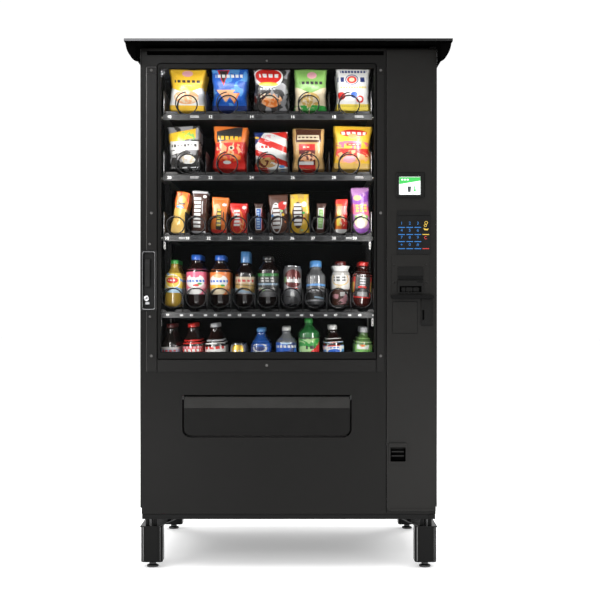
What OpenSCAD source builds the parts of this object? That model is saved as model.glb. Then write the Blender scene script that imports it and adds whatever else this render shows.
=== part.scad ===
// Glass-front snack and drink vending machine.
// Millimetres. X to the right, Y to the back, Z up. Origin at the middle of the floor area.

/* [Body] */
// Width of the cabinet and door
body_w = 1041; // [1031:1:1051]
// Depth from the door face to the back panel
body_d = 889; // [869:1:929]
// Underside of the base pan above the floor
base_z = 177; // [171:1:183]
// Height of the top of the rain canopy
total_h = 1844; // [1840:1:1860]
// Width of the rain canopy
canopy_w = 1128; // [1110:1:1150]
// How far the canopy reaches in front of the door
canopy_front = 105; // [80:1:130]
// Thickness of the sheet steel
sheet_t = 2; // [1.5:0.1:2.5]
// Thickness of the door
door_t = 70; // [66:1:76]

/* [Legs] */
// Width of a leg post
leg_w = 77; // [70:1:84]
// Depth of a leg post
leg_d = 70; // [60:1:76]
// Radius of a levelling foot
foot_r = 21; // [18:1:26]
// Radius of a foot's stem
stem_r = 8; // [6:0.5:9]

/* [Trays] */
// Heights of the price rails' top edges, from the top row down
rail_tops = [1620, 1400, 1180, 902, 625];
// Y of the trays' front edge
tray_front = -243; // [-250:1:-235]
// Length of a coil
coil_len = 560; // [540:1:570]
// Radius of the coils' wire
wire_r = 2.5; // [2:0.1:3]

/* [Hinge] */
// Radius of the door's pivot pins
pin_r = 5; // [4:0.5:6]
// Radial clearance of a turning fit
fit = 0.05; // [0.03:0.01:0.08]

/* [Hidden] */
seam = 0.2;                          // hairline between the plates of one sheet
half_w = body_w / 2;
y_back = (body_d + canopy_front) / 2;
y_face = y_back - body_d;            // front of the door skin
y_canopy = -y_back;                  // front edge of the canopy
y_skin = y_face + sheet_t;           // back of the door skin
y_door = y_face + door_t;            // back of the door
y_cab = y_door + 4;                  // front edge of the cabinet
y_trim = y_face - 5;                 // front of the trims and the column panel
base_top = base_z + 17;
door_lo = base_top + 2;
door_hi = total_h - 14;
cab_hi = total_h - 6;
seam_x = 343;                        // seam between the window field and the money column
pivot = [half_w - 10.5, y_face + 9]; // axis of the door

// Openings as [x0, x1, z0, z1]
window = [-455, 303, 744, 1772];
delivery = [-373.6, 221.7, 464.7, 613];
header = [-497, 334, 1806.5, 1821];
handle_hole = [-516, -476, 911, 1119];
column_hole = [352, 506, 372, 1400];
bill_mouth = [388, 465, 974, 996];
coin_slot = [468, 475, 877, 912];
coin_cup = [357, 410, 381, 430];
strike_hole = [-508, -488, 925, 981];

// Inside of the product space
liner_x = [-480, 314];
liner_z = [442, 1800];
liner_y = [y_cab + 2, 380];
divider_front = -225;
motor_y = [336, 372];

// Rows from the top: [left, right, first coil x, coil pitch in x, coils, coil radius, coil z, lead]
rows = [
  [-456, 301, -375.5, 149, 5, 38, 1664, 70],
  [-456, 301, -375.5, 149, 5, 38, 1446.5, 70],
  [-456, 301, -415.2, 75.6, 10, 32, 1220, 56],
  [-476, 310, -428, 87, 9, 36, 954, 80],
  [-476, 310, -428, 87, 9, 36, 677, 80],
];
bag_row = 1;
bag_col = 3;
bar_row = 2;
bar_col = 4;
tray_drop = 4;                       // tray floor below the rail's top edge
tray_t = 1.5;
divider_h = 92;
coil_y = tray_front + 7;

// ---------------------------------------------------------------- helpers

// Box between its lowest and highest corners
module block(lo, hi) {
  translate(lo) cube(hi - lo);
}

// Rounded rectangle in the plane, with a radius for the lower and one for the upper corners
module rounded(x, z, r_low, r_high) {
  r = max(r_low, r_high);
  translate([x[0] + r, z[0]]) square([x[1] - x[0] - 2 * r, z[1] - z[0]]);
  translate([x[0], z[0] + r_low]) square([x[1] - x[0], z[1] - z[0] - r_low - r_high]);
  for (s = [x[0], x[1]]) {
    side = s == x[0] ? 1 : -1;
    translate([s + side * r_low, z[0] + r_low]) circle(r_low, $fn = 48);
    translate([s + side * r_high, z[1] - r_high]) circle(r_high, $fn = 48);
  }
  if (r_high < r)
    translate([x[0] + r_high, z[1] - r]) square([x[1] - x[0] - 2 * r_high, r]);
}

// Upright plate with rounded corners
module plate(x, z, y, r_low, r_high) {
  translate([0, y[1], 0]) rotate([90, 0, 0]) linear_extrude(y[1] - y[0])
    rounded(x, z, r_low, r_high);
}

// Upright sheet with openings stacked from the bottom to the top, in strips a seam apart
module sheet(x, z, y, openings) {
  n = len(openings);
  for (i = [0:n]) {
    lo = i == 0 ? z[0] : openings[i - 1][3] + seam;
    hi = i == n ? z[1] : openings[i][2] - seam;
    if (hi > lo + 1) block([x[0], y[0], lo], [x[1], y[1], hi]);
  }
  for (o = openings) {
    if (o[0] > x[0]) block([x[0], y[0], o[2]], [o[0], y[1], o[3]]);
    if (o[1] < x[1]) block([o[1], y[0], o[2]], [x[1], y[1], o[3]]);
  }
}

// Ring of four flat bars round an opening
module ring(o, in, y) {
  sheet([in[0], in[1]], [in[2], in[3]], y, [o]);
}

// Open-fronted box of thin plates: floor, roof, sides and back
module pocket(x, z, y, t, roof) {
  block([x[0], y[0], z[0]], [x[1], y[1], z[0] + t]);
  block([x[0], y[1] - t, z[0] + t + seam], [x[1], y[1], z[1]]);
  for (s = [x[0], x[1] - t])
    block([s, y[0], z[0] + t + seam], [s + t, y[1] - t - seam, z[1]]);
  if (roof)
    block([x[0], y[0], z[1] + seam], [x[1], y[1], z[1] + seam + t]);
}

// Round bar along Y
module rod_y(x, z, y, r) {
  translate([x, y[1], z]) rotate([90, 0, 0]) cylinder(h = y[1] - y[0], r = r, $fn = 48);
}

// Round bar along X
module rod_x(x, y, z, r) {
  translate([x[0], y, z]) rotate([0, 90, 0]) cylinder(h = x[1] - x[0], r = r, $fn = 32);
}

// ---------------------------------------------------------------- cabinet

// Side wall: sheet, front return flange
module side_wall(s, flange) {
  outer = s * half_w;
  inner = s * (half_w - sheet_t);
  block([min(outer, inner), y_cab, base_top + seam], [max(outer, inner), y_back, cab_hi]);
  edge = s * (half_w - sheet_t - seam);
  far = s * (half_w - sheet_t - flange);
  block([min(edge, far), y_cab, base_top + seam], [max(edge, far), y_cab + sheet_t, cab_hi - 3]);
}

module cabinet_left_wall() {
  color("#2b2a29") {
    side_wall(-1, 34);
    // Strike plate round the latch bolt
    strike_x = [-500, -497];
    for (z = [[936, 946.5], [959.5, 970]])
      block([strike_x[0], y_cab - 52, z[0]], [strike_x[1], y_cab - seam, z[1]]);
    block([strike_x[0], y_cab - 52, 946.7], [strike_x[1], y_cab - 45, 959.3]);
  }
}

module cabinet_right_wall() {
  color("#2b2a29") side_wall(1, 10);
}

module cabinet_back_panel() {
  x = half_w - sheet_t - seam;
  color("#2b2a29")
    sheet([-x, x], [base_top + seam, cab_hi - sheet_t - seam], [y_back - sheet_t, y_back],
          [[-300, 300, 215, 415]]);
}

module cabinet_top_panel() {
  x = half_w - sheet_t - seam;
  color("#2b2a29") block([-x, y_cab, cab_hi - sheet_t], [x, y_back, cab_hi]);
}

module cabinet_base_pan() {
  x = half_w - 5.5;
  y = [y_face + 6, y_back];
  rim = [base_z + sheet_t + seam, base_top];
  color("#1f1f1f") {
    block([-x, y[0], base_z], [x, y[1], base_z + sheet_t]);
    // Rims; the front and right ones end at the lower hinge block
    block([-x, y[0], rim[0]], [pivot[0] - 14 - seam, y[0] + sheet_t, rim[1]]);
    block([-x, y[1] - sheet_t, rim[0]], [x, y[1], rim[1]]);
    block([-x, y[0] + sheet_t + seam, rim[0]], [-x + sheet_t, y[1] - sheet_t - seam, rim[1]]);
    block([x - sheet_t, y_cab + 10 + seam, rim[0]], [x, y[1] - sheet_t - seam, rim[1]]);
  }
}

// Inner box round the products; the front and the door side's front edge stay open
module product_liner() {
  t = sheet_t;
  color("#141414") {
    block([liner_x[0] - t, liner_y[0], liner_z[0]], [liner_x[0], liner_y[1], liner_z[1]]);
    block([liner_x[1], divider_front, liner_z[0]], [liner_x[1] + t, liner_y[1], liner_z[1]]);
    block([liner_x[0], liner_y[1] - t, liner_z[0]], [liner_x[1] - seam, liner_y[1], liner_z[1]]
          - [0, 0, seam]);
    block([liner_x[0] - t, liner_y[0], liner_z[1] + seam],
          [liner_x[1] + t, liner_y[1], liner_z[1] + seam + t]);
    block([liner_x[0] - t, -240, liner_z[0] - seam - t],
          [liner_x[1] + t, liner_y[1], liner_z[0] - seam]);
  }
}

module rain_canopy() {
  x = canopy_w / 2;
  t = sheet_t;
  plate_z = total_h - t;
  lip = [total_h - 10, plate_z - seam];
  color("#2e2d2c") {
    block([-x, y_canopy, plate_z], [x, y_back, total_h]);
    block([-x, y_canopy, lip[0]], [x, y_canopy + t, lip[1]]);
    for (e = [-x, x - t])
      block([e, y_canopy + t + seam, lip[0]], [e + t, y_back, lip[1]]);
    // Stiffening strips between the cabinet top and the canopy sheet
    for (c = [-380, 0, 380])
      block([c - 30, y_cab + 30, cab_hi], [c + 30, y_back - 30, plate_z - seam]);
  }
}

// Quarter-oval brackets under the canopy's front corners, each closed by a cap at its front
module canopy_side_fairings() {
  inner = half_w + 5.3;
  size = [canopy_w / 2 - sheet_t - seam - inner, 63];
  front = y_canopy + 19;
  deep = 58;
  color("#1c1c1c")
    for (s = [-1, 1])
      translate([s * inner, front + sheet_t + seam + deep, total_h - sheet_t - seam]) rotate([90, 0, 0]) {
        linear_extrude(deep)
          difference() {
            quarter_oval(s, size);
            quarter_oval(s, size - [sheet_t, sheet_t]);
          }
        translate([0, 0, deep + seam]) linear_extrude(sheet_t)
          quarter_oval(s, size);
      }
}

// Quarter of an oval below and to the side s of its centre
module quarter_oval(s, size) {
  arc = [for (a = [0:9:90]) [s * size[0] * cos(a), -size[1] * sin(a)]];
  polygon(concat([[0, 0]], arc));
}

// Places of the four legs: [side, front or back]
function leg_x(s) = s * 483.5;
leg_mid = 47;
function leg_y(e) = leg_mid + e * 379;

leg_lo = 21;
leg_hi = base_z - 29;

// Hollow post with rounded edges and a thick foot plate with the stem's bore
module leg_post() {
  difference() {
    translate([0, 0, leg_lo]) linear_extrude(leg_hi - leg_lo)
      rounded([-leg_w / 2, leg_w / 2], [-leg_d / 2, leg_d / 2], 12, 12);
    translate([0, 0, leg_lo + 10]) linear_extrude(leg_hi)
      rounded([3 - leg_w / 2, leg_w / 2 - 3], [3 - leg_d / 2, leg_d / 2 - 3], 9, 9);
    cylinder(h = 60, r = stem_r + fit, $fn = 48);
  }
}

module leg_posts() {
  color("#1d1d1d")
    for (s = [-1, 1])
      for (e = [-1, 1])
        translate([leg_x(s), leg_y(e), 0]) leg_post();
}

// Trapezoid plate on top of each leg
module leg_plates() {
  reach = 142;
  color("#242424")
    for (s = [-1, 1])
      for (e = [-1, 1])
        translate([leg_x(s), leg_y(e), leg_hi + seam])
          linear_extrude(4)
            polygon([[s * 38.5, e * 52], [-s * 27.5, e * 52],
                     [-s * 81.5, -e * reach], [s * 38.5, -e * reach]]);
}

// Spacers with bolts between the leg plates and the base pan
module leg_bolts() {
  lo = leg_hi + 4 + 2 * seam;
  color("#8d8d8a")
    for (s = [-1, 1])
      for (e = [-1, 1])
        for (p = [[8.5, -108], [16, 22], [-48, -108], [-12, 22]])
          translate([leg_x(s) + s * p[0], leg_y(e) + e * p[1], lo])
            cylinder(h = base_z - lo, r = 7, $fn = 32);
}

// Levelling foot: disc, hexagon and stem
module levelling_foot(s, e) {
  color("#3a3a3a")
    translate([leg_x(s), leg_y(e), 0]) {
      cylinder(h = 7, r = foot_r, $fn = 64);
      translate([0, 0, 7]) cylinder(h = 3, r1 = foot_r, r2 = 15, $fn = 64);
      translate([0, 0, 10]) cylinder(h = 7, r = 13, $fn = 6);
      cylinder(h = 66, r = stem_r, $fn = 48);
    }
}

// Angle rails on the liner's sides, one pair a tray, with a slotted upright at the left back
module tray_runners() {
  color("#5c5d5e")
    for (i = [0:4]) {
      r = rows[i];
      z = rail_tops[i] - tray_drop - tray_t - 0.3;
      for (x = [[liner_x[0] + seam, r[0] + 10], [r[1] - 10, liner_x[1] - seam]])
        block([x[0], -215, z - 2], [x[1], 330, z]);
    }
  color("#77787a")
    for (x = [liner_x[0] + seam, liner_x[1] - seam - 2])
      for (y = [-200, 250])
        for (i = [0:5]) {
          lo = i == 5 ? liner_z[0] + 5 : rail_tops[i] - tray_drop + seam;
          hi = i == 0 ? liner_z[1] - 5 : rail_tops[i - 1] - tray_drop - tray_t - 2.5;
          block([x, y, lo], [x + 2, y + 26, hi]);
        }
}

// ---------------------------------------------------------------- cooling and control

module compressor() {
  floor_z = base_z + sheet_t + seam;
  color("#161616")
    translate([-240, 180, floor_z]) {
      translate([0, 0, 22]) cylinder(h = 110, r = 65, $fn = 96);
      translate([0, 0, 132 + seam]) cylinder(h = 30, r1 = 65, r2 = 38, $fn = 96);
      for (x = [-58, 58]) {
        block([x - 12, -80, 14], [x + 12, 80, 22 - seam]);
        for (y = [-66, 66])
          translate([x, y, 0]) cylinder(h = 14 - seam, r = 10, $fn = 32);
      }
    }
}

fan_x = 140;
fan_z = 312;
fan_y = 210;

// Finned block with headers, and the fan's motor behind the fan
module condenser_coil() {
  lo = [fan_x - 130, fan_y - 90, 200];
  color("#8f8f8c") {
    for (i = [0:25])
      block([lo[0] + i * 10, lo[1], lo[2]], [lo[0] + i * 10 + 1.5, lo[1] + 50, lo[2] + 220]);
    for (k = [0:4])
      rod_x([lo[0] - 12, lo[0] + 264], lo[1] + 25, lo[2] + 22 + k * 44, 5);
    // Feet
    for (x = [lo[0], lo[0] + 225])
      block([x, lo[1], base_z + sheet_t + seam], [x + 26.5, lo[1] + 50, lo[2]]);
  }
  color("#2a2a2a")
    difference() {
      union() {
        rod_y(fan_x, fan_z, [fan_y + 34, fan_y + 90], 34);
        block([fan_x - 20, fan_y + 50, base_z + sheet_t + seam],
              [fan_x + 20, fan_y + 80, fan_z - 20]);
      }
      rod_y(fan_x, fan_z, [fan_y + 30, fan_y + 64], 5 + fit);
    }
}

module condenser_fan() {
  color("#3b3b3d") {
    rod_y(fan_x, fan_z, [fan_y, fan_y + 28], 24);
    rod_y(fan_x, fan_z, [fan_y + 20, fan_y + 60], 5);
    for (a = [0:72:288])
      translate([fan_x, fan_y + 14, fan_z]) rotate([0, a, 0])
        translate([20, 0, 0]) rotate([32, 0, 0]) translate([0, -1, -18]) cube([72, 2, 36]);
  }
}

module control_box() {
  x = [330, 500];
  y = [60, 330];
  z = [520, 1060];
  t = 1.5;
  color("#6c6e70") {
    difference() {
      block([x[0], y[0], z[0]], [x[1], y[1], z[1]]);
      block([x[0] + t, y[0] - 1, z[0] + t], [x[1] - t, y[1] - t, z[1] - t]);
    }
    block([x[0], y[0] - t - seam, z[0]], [x[1], y[0] - seam, z[1]]);
    // Shelf brackets to the side wall
    for (h = [z[0] + 40, z[1] - 40])
      block([x[1], y[0] + 20, h], [half_w - sheet_t, y[0] + 60, h + 3]);
  }
}

// Louvred grille over the opening at the back
module rear_grille() {
  x = [-299, 299];
  y = [y_back - sheet_t, y_back];
  color("#333333")
    difference() {
      block([x[0], y[0], 216], [x[1], y[1], 414]);
      for (r = [0:8])
        for (c = [0:3])
          block([x[0] + 14 + c * 146, y[0] - 1, 228 + r * 20],
                [x[0] + 14 + c * 146 + 132, y[1] + 1, 236 + r * 20]);
    }
}

// Brackets with the door's two pivot pins
module hinge_brackets() {
  color("#4b4b4b") {
    block([pivot[0] - 14, y_face + 2, base_z + sheet_t + seam], [pivot[0] + 4.8, y_cab + 10, base_top]);
    translate([pivot[0], pivot[1], base_top - 4]) cylinder(h = 24, r = pin_r, $fn = 48);
    block([pivot[0] - 14, y_face + 2, door_hi + 1], [pivot[0] + 8, y_cab, door_hi + 6]);
    translate([pivot[0], pivot[1], door_hi - 19]) cylinder(h = 22, r = pin_r, $fn = 48);
  }
}

// ---------------------------------------------------------------- door

// Block that holds a pivot pin
module pivot_block(z) {
  difference() {
    block([pivot[0] - 9, y_skin + seam, z[0]], [half_w - sheet_t - seam, pivot[1] + 9, z[1]]);
    translate([pivot[0], pivot[1], z[0] - 1]) cylinder(h = z[1] - z[0] + 2, r = pin_r + fit, $fn = 48);
  }
}

// Pan of the door: skin, edge returns, pivot blocks
module door_shell() {
  y = [y_face, y_skin];
  ret = [y_skin + seam, y_door - sheet_t - seam];
  in_x = half_w - sheet_t - seam;
  color("#2b2a29") {
    // Window field, with the header, window and delivery openings
    sheet([-half_w, seam_x - seam], [door_lo, door_hi], y,
          [delivery, [-half_w, window[1], window[2], window[3]], header]);
    // Stile at the left of the window, round the handle
    sheet([-half_w, window[0]], [window[2], window[3]], y, [handle_hole]);
    // Money column
    sheet([seam_x, half_w], [door_lo, door_hi], y, [column_hole]);
    // Returns
    for (x = [-half_w, half_w - sheet_t])
      block([x, ret[0], door_lo], [x + sheet_t, ret[1], door_hi]);
    for (z = [door_lo, door_hi - sheet_t])
      block([-in_x, ret[0], z], [pivot[0] - 10, ret[1], z + sheet_t]);
    // Backing of the header opening
    block([header[0], y_skin + 6, header[2] - 6], [header[1], y_skin + 8, header[3] + 2]);
    pivot_block([door_lo, door_lo + 20]);
    pivot_block([door_hi - 20, door_hi - 1]);
  }
}

// Inner sheet of the door, open behind the window down to the delivery bin
module door_inner_panel() {
  y = [y_door - sheet_t, y_door];
  x = half_w - 4;
  drop = [-380, 228, 453, 620];
  color("#1b1b1b") {
    sheet([-x, seam_x - 33], [door_lo + 4, door_hi - 4], y,
          [drop, [-x, window[1], drop[3] + 1, window[3]]]);
    sheet([-x, window[0]], [drop[3] + 1, window[3]], y, [strike_hole]);
    sheet([seam_x - 32.8, x], [door_lo + 4, door_hi - 4], y, [[345, 507, 300, 1420]]);
  }
}

module window_frame() {
  color("#232323")
    ring([-451, 301, 764, 1759], [-462, 309, 738, 1778], [y_trim, y_face - seam]);
}

module window_pane() {
  color("#9fb4b8", 0.35)
    block([window[0] + 0.5, y_face + 2, window[2] + 0.5], [window[1] - 0.5, y_face + 6, window[3] - 0.5]);
}

module window_trims() {
  y = [y_trim, y_face - seam];
  color("#2f2e2d") {
    sheet([-497, -462.5], [696, 1763], y, [[-497, -471.5, 909, 1120.5]]);
    block([309.5, y[0], 696], [334, y[1], 1763]);
    block([-457, y[0], 696], [304, y[1], 737.5]);
  }
}

screws = [[-481, 1753], [322, 1753], [-479, 1251.5], [323, 1251.5], [-479, 751], [323, 751],
          [-77, 718], [-487, 1143], [-486, 888]];

module tamper_screws() {
  color("#55534f") {
    for (s = screws) rod_y(s[0], s[1], [y_trim - 2, y_trim], 5);
    rod_y(-77, 1787, [y_face - 2.5, y_face], 5);
  }
}

// Raised panel down the money column
module column_panel() {
  color("#302f2e")
    sheet([345, 516], [207, 1825], [y_trim, y_face - seam],
          [coin_cup, [467, 500, 862, 947], [382, 471, 971, 1064]]);
}

module screen_bezel() {
  color("#3a3a3a")
    ring([387, 462, 1316, 1379], [377, 475, 1305, 1393], [y_trim - 8, y_trim - seam]);
}

module screen_panel() {
  color("#c9d3cf") block([387.5, y_trim - 3, 1316.5], [461.5, y_trim - seam, 1378.5]);
}

module keypad_plate() {
  color("#242424") plate([380, 496], [1108, 1260], [y_trim - 4, y_trim - seam], 3, 3);
}

module validator_bezel() {
  color("#333231") {
    ring(bill_mouth + [-2, 2, -1, 1], [361, 493, 964.2, 1105], [y_trim - 3, y_trim - seam]);
    ring(bill_mouth, [382, 471, 971, 1064], [y_trim - 15, y_trim - 3 - seam]);
  }
}

// Bill validator with its note box, behind the door skin
module bill_validator() {
  t = 1.5;
  x = [376, 478];
  color("#1a1a1a")
    difference() {
      block([x[0], y_skin + 4, 966], [x[1], -250, 1240]);
      block([x[0] + t, y_skin + 4 + t, 966 + t], [x[1] - t, -240, 1240 - t]);
      block([394, y_skin, 983], [459, y_skin + 8, 987]);
    }
}

module rain_ledge() {
  color("#383736") plate([359, 508], [950.5, 964], [y_trim - 25, y_trim - seam], 6, 6);
}

module card_reader_blank() {
  color("#2a2928") plate([363, 452], [829.5, 942], [y_trim - 3, y_trim - seam], 4, 4);
}

module coin_slot_plate() {
  color("#343332") ring(coin_slot, [464.5, 503, 859, 950], [y_trim - 8, y_trim - seam]);
}

// Coin changer with its chute to the return cup
module coin_mechanism() {
  t = 1.5;
  color("#222222") {
    difference() {
      block([424, y_skin + 6, 560], [503, -250, 945]);
      block([424 + t, y_skin + 6 + t, 560 + t], [503 - t, -240, 945 - t]);
    }
    block([424, -330, 440], [503, -326, 559.8]);
  }
}

module coin_return_cup() {
  c = coin_cup;
  hinge_z = c[3] - 5;
  color("#2c2b2a") {
    pocket([c[0] - 2, c[1] + 2], [c[2] - 2, c[3] - seam], [y_face + 0.5, y_face + 46], 1.8, true);
    // Hood and rim in front of the column panel
    plate([352, 415], [432, 446], [y_trim - 9, y_trim - seam], 3, 6);
    block([352, y_trim - 4, 372], [415, y_trim - seam, c[2] - 1]);
    for (x = [[352, c[0] - 1], [c[1] + 1, 415]])
      block([x[0], y_trim - 4, c[2] - 0.8], [x[1], y_trim - seam, 431.8]);
    // Ears that hold the flap's pins
    for (x = [c[0] + seam, c[1] - 3 - seam])
      difference() {
        block([x, y_face + 2, hinge_z - 4], [x + 3, y_face + 10, c[3] - 0.6]);
        rod_x([x - 1, x + 4], y_face + 6, hinge_z, 1.5 + fit);
      }
  }
}

bin_y = -254;

// Bin that catches the products, open at the top, with ears for the flap's pins
module delivery_bin() {
  x = [-380, 228];
  color("#191919") {
    pocket(x, [455, 600], [y_skin + 1, bin_y], sheet_t, false);
    for (e = [[x[0] + 2.2, -368.4], [216.4, x[1] - 2.2]])
      difference() {
        block([e[0], y_skin + 1, 597], [e[1], y_skin + 12, 612]);
        rod_x([e[0] - 1, e[1] + 1], flap_axis[0], flap_axis[1], 3 + fit);
      }
  }
}

handle_x = [-511, -480];
handle_z = [915.5, 1115];
lock_at = [-499, 953];
recess_y = y_face + 14;

// Backplate, recess and latch guide of the handle
module handle_housing() {
  color("#262625") {
    ring([handle_x[0], handle_x[1], handle_z[0], handle_z[1]], [-520, -472, 909.5, 1120],
         [y_face - 7, y_face - seam]);
    // Walls of the recess, inside the hole in the door skin
    ring([handle_x[0], handle_x[1], handle_z[0], handle_z[1]],
         [handle_hole[0] + 1, handle_hole[1] - 1, handle_hole[2] + 1, handle_hole[3] - 1],
         [y_face, recess_y]);
    difference() {
      block([handle_hole[0] + 1, recess_y + seam, handle_z[0] - 3],
            [handle_hole[1] - 1, recess_y + 2, handle_z[1] + 3]);
      rod_y(lock_at[0], lock_at[1], [recess_y - 2, recess_y + 4], 9.5 + fit);
    }
    for (z = [[943, lock_at[1] - 5.3], [lock_at[1] + 5.3, 963]])
      block([-478, y_face + 26, z[0]], [-462, y_face + 46, z[1]]);
    // Ears of the lever's pivot
    for (x = [handle_x[0], handle_x[1] - 4.8])
      difference() {
        block([x, y_face - 2, 1082], [x + 4.8, recess_y, 1094]);
        rod_x([x - 1, x + 6], lever_axis[0], lever_axis[1], 2 + fit);
      }
  }
}

lever_axis = [y_face + 4, 1088];

// Paddle lever, hinged at its top
module handle_lever() {
  x = [-504.5, -486];
  color("#1f1f1e") {
    plate(x, [993, 1084], [y_face - 5, y_face + 1], 4, 0.5);
    block([x[0], y_face - 5, 1083], [x[1], y_face + 6, 1092]);
    rod_x([x[0] - 4, x[1] + 4], lever_axis[0], lever_axis[1], 2);
  }
}

module lock_cylinder() {
  color("#c2c3c4")
    difference() {
      rod_y(lock_at[0], lock_at[1], [y_face - 3, y_face + 18], 9.5);
      block([lock_at[0] - 1, y_face - 4, lock_at[1] - 5], [lock_at[0] + 1, y_face + 6, lock_at[1] + 5]);
    }
}

// Bolt that the lock drives; it is drawn back at rest
module latch_bolt() {
  color("#8a8b8c") block([-493, y_face + 30, lock_at[1] - 5], [-458, y_face + 42, lock_at[1] + 5]);
}

flap_axis = [y_skin + 6, 603];

// Flap in front of the bin, with a chamfered upper band and two pins
module delivery_flap() {
  x = [-367, 215];
  y = [y_skin + 1.5, y_skin + 7.5];
  color("#2f2e2d") {
    difference() {
      plate(x, [471, 607], y, 24, 3);
      translate([x[0] - 1, y[0], 567]) rotate([-4, 0, 0]) translate([0, -20, 0])
        cube([x[1] - x[0] + 2, 20, 60]);
    }
    for (p = [[x[0] - 8, x[0] + 4], [x[1] - 4, x[1] + 8]])
      rod_x(p, flap_axis[0], flap_axis[1], 3);
  }
}

module coin_return_flap() {
  c = coin_cup;
  z = c[3] - 5;
  x = [c[0] + 3.6, c[1] - 3.6];
  color("#3a3938") {
    block([x[0], y_face + 4.5, c[2] + 3], [x[1], y_face + 7.5, z + 3]);
    for (p = [[x[0] - 3, x[0] + 2], [x[1] - 2, x[1] + 3]])
      rod_x(p, y_face + 6, z, 1.5);
  }
}

// ---------------------------------------------------------------- trays, coils and goods

function coil_x(row, i) = rows[row][2] + i * rows[row][3];

// Tray: floor, sides, dividers, front lip, price rail and motor bar, in plates a seam apart
module tray(row) {
  r = rows[row];
  x = [r[0], r[1]];
  top = rail_tops[row];
  z = top - tray_drop;
  color("#55575a") {
    block([x[0], tray_front, z - tray_t], [x[1], motor_y[0] - seam, z]);
    for (s = [x[0], x[1] - tray_t])
      block([s, tray_front + 4, z + seam], [s + tray_t, motor_y[0] - seam, z + divider_h]);
    for (i = [1:r[4] - 1]) {
      c = coil_x(row, i) - r[3] / 2;
      block([c - 0.6, tray_front + 4, z + seam], [c + 0.6, motor_y[0] - seam, z + divider_h]);
    }
  }
  color("#111111")
    block([x[0], tray_front, z + seam], [x[1], tray_front + 2, top + 11]);
  color("#3d3f42")
    block([x[0], tray_front - 7, top - 20], [x[1], tray_front - seam, top]);
  color("#2a2b2c")
    difference() {
      block([x[0], motor_y[0], z - tray_t], [x[1], motor_y[1], z + divider_h]);
      for (i = [0:r[4] - 1])
        rod_y(coil_x(row, i), r[6], [motor_y[0] - 1, motor_y[0] + 16], 4 + fit);
    }
}

module tray_1() { tray(0); }
module tray_2() { tray(1); }
module tray_3() { tray(2); }
module tray_4() { tray(3); }
module tray_5() { tray(4); }

steps = 8; // wire segments a turn

// Centre line of a coil round the Y axis; turn 0 is the front end, at the top of the coil
function wire_angle(turn) = 360 * (turn - 0.5);
function wire_ring(turn, r, lead) =
  let (a = wire_angle(turn), u = [sin(a), 0, -cos(a)], c = r * u + [0, turn * lead, 0])
  [c + wire_r * u, c + [0, wire_r, 0], c - wire_r * u, c - [0, wire_r, 0]];

// Wire coil, with a carrier arm, a hub and a drive shaft behind it
module coil(x, z, r, lead) {
  turns = coil_len / lead;
  n = floor(turns * steps);
  rings = [for (i = [0:n]) each wire_ring(i / steps, r, lead)];
  sides = [for (i = [0:n - 1]) for (k = [0:3])
             let (a = 4 * i + k, b = 4 * i + (k + 1) % 4)
             each [[a, a + 4, b], [b, a + 4, b + 4]]];
  caps = [[0, 1, 2], [0, 2, 3], [4 * n + 2, 4 * n + 1, 4 * n], [4 * n + 3, 4 * n + 2, 4 * n]];
  translate([x, coil_y, z])
    polyhedron(points = rings, faces = concat(sides, caps), convexity = 10);
  end = coil_y + coil_len + wire_r + seam;
  block([x - 3, end, z], [x + 3, end + 4, z + r + 2]);
  rod_y(x, z, [end + 0.5, end + 8], 10);
  rod_y(x, z, [end + 1, motor_y[0] + 14], 4);
}

// All the coils of a row but the one that is a moving part of its own
module coils(row, skip) {
  r = rows[row];
  color("#4a4b4c")
    for (i = [0:r[4] - 1])
      if (i != skip) coil(coil_x(row, i), r[6], r[5], r[7]);
}

module spirals_1() { coils(0, -1); }
module spirals_2() { coils(1, bag_col); }
module spirals_3() { coils(2, bar_col); }
module spirals_4() { coils(3, -1); }
module spirals_5() { coils(4, -1); }

module moving_coil(row, col) {
  r = rows[row];
  color("#6a6b6c") coil(coil_x(row, col), r[6], r[5], r[7]);
}

module bag_spiral() { moving_coil(bag_row, bag_col); }
module bar_spiral() { moving_coil(bar_row, bar_col); }

// One pack in each turn of a coil, held where the wire passes below it
module stock(row, col, w, h, t) {
  r = rows[row];
  x = coil_x(row, col);
  z = r[6] - 0.38 * r[5];
  n = floor(coil_len / r[7]);
  for (k = [1:n - 1]) {
    y = coil_y + (k + 0.5) * r[7];
    plate([x - w / 2, x + w / 2], [z, z + h], [y - t / 2, y + t / 2], 5, 5);
  }
}

module bag_stock() {
  color("#b98a4e") stock(bag_row, bag_col, 122, 150, 14);
}

module bar_stock() {
  color("#7c3f2a") stock(bar_row, bar_col, 54, 118, 10);
}

// ---------------------------------------------------------------- nodes

cabinet_left_wall();
cabinet_right_wall();
cabinet_back_panel();
cabinet_top_panel();
cabinet_base_pan();
product_liner();
rain_canopy();
canopy_side_fairings();
leg_posts();
leg_plates();
leg_bolts();
tray_runners();
compressor();
condenser_coil();
control_box();
rear_grille();
hinge_brackets();
condenser_fan();
levelling_foot(-1, -1);  // foot_front_left
levelling_foot(1, -1);  // foot_front_right
levelling_foot(-1, 1);  // foot_rear_left
levelling_foot(1, 1);  // foot_rear_right
door_shell();
door_inner_panel();
window_frame();
window_pane();
window_trims();
tamper_screws();
column_panel();
screen_bezel();
screen_panel();
keypad_plate();
validator_bezel();
bill_validator();
rain_ledge();
card_reader_blank();
coin_slot_plate();
coin_mechanism();
coin_return_cup();
delivery_bin();
handle_housing();
handle_lever();
lock_cylinder();
latch_bolt();
delivery_flap();
coin_return_flap();
tray_1();
tray_2();
tray_3();
tray_4();
tray_5();
spirals_1();
spirals_2();
spirals_3();
spirals_4();
spirals_5();
bag_spiral();
bag_stock();
bar_spiral();
bar_stock();
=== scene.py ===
import math
import random

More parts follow.
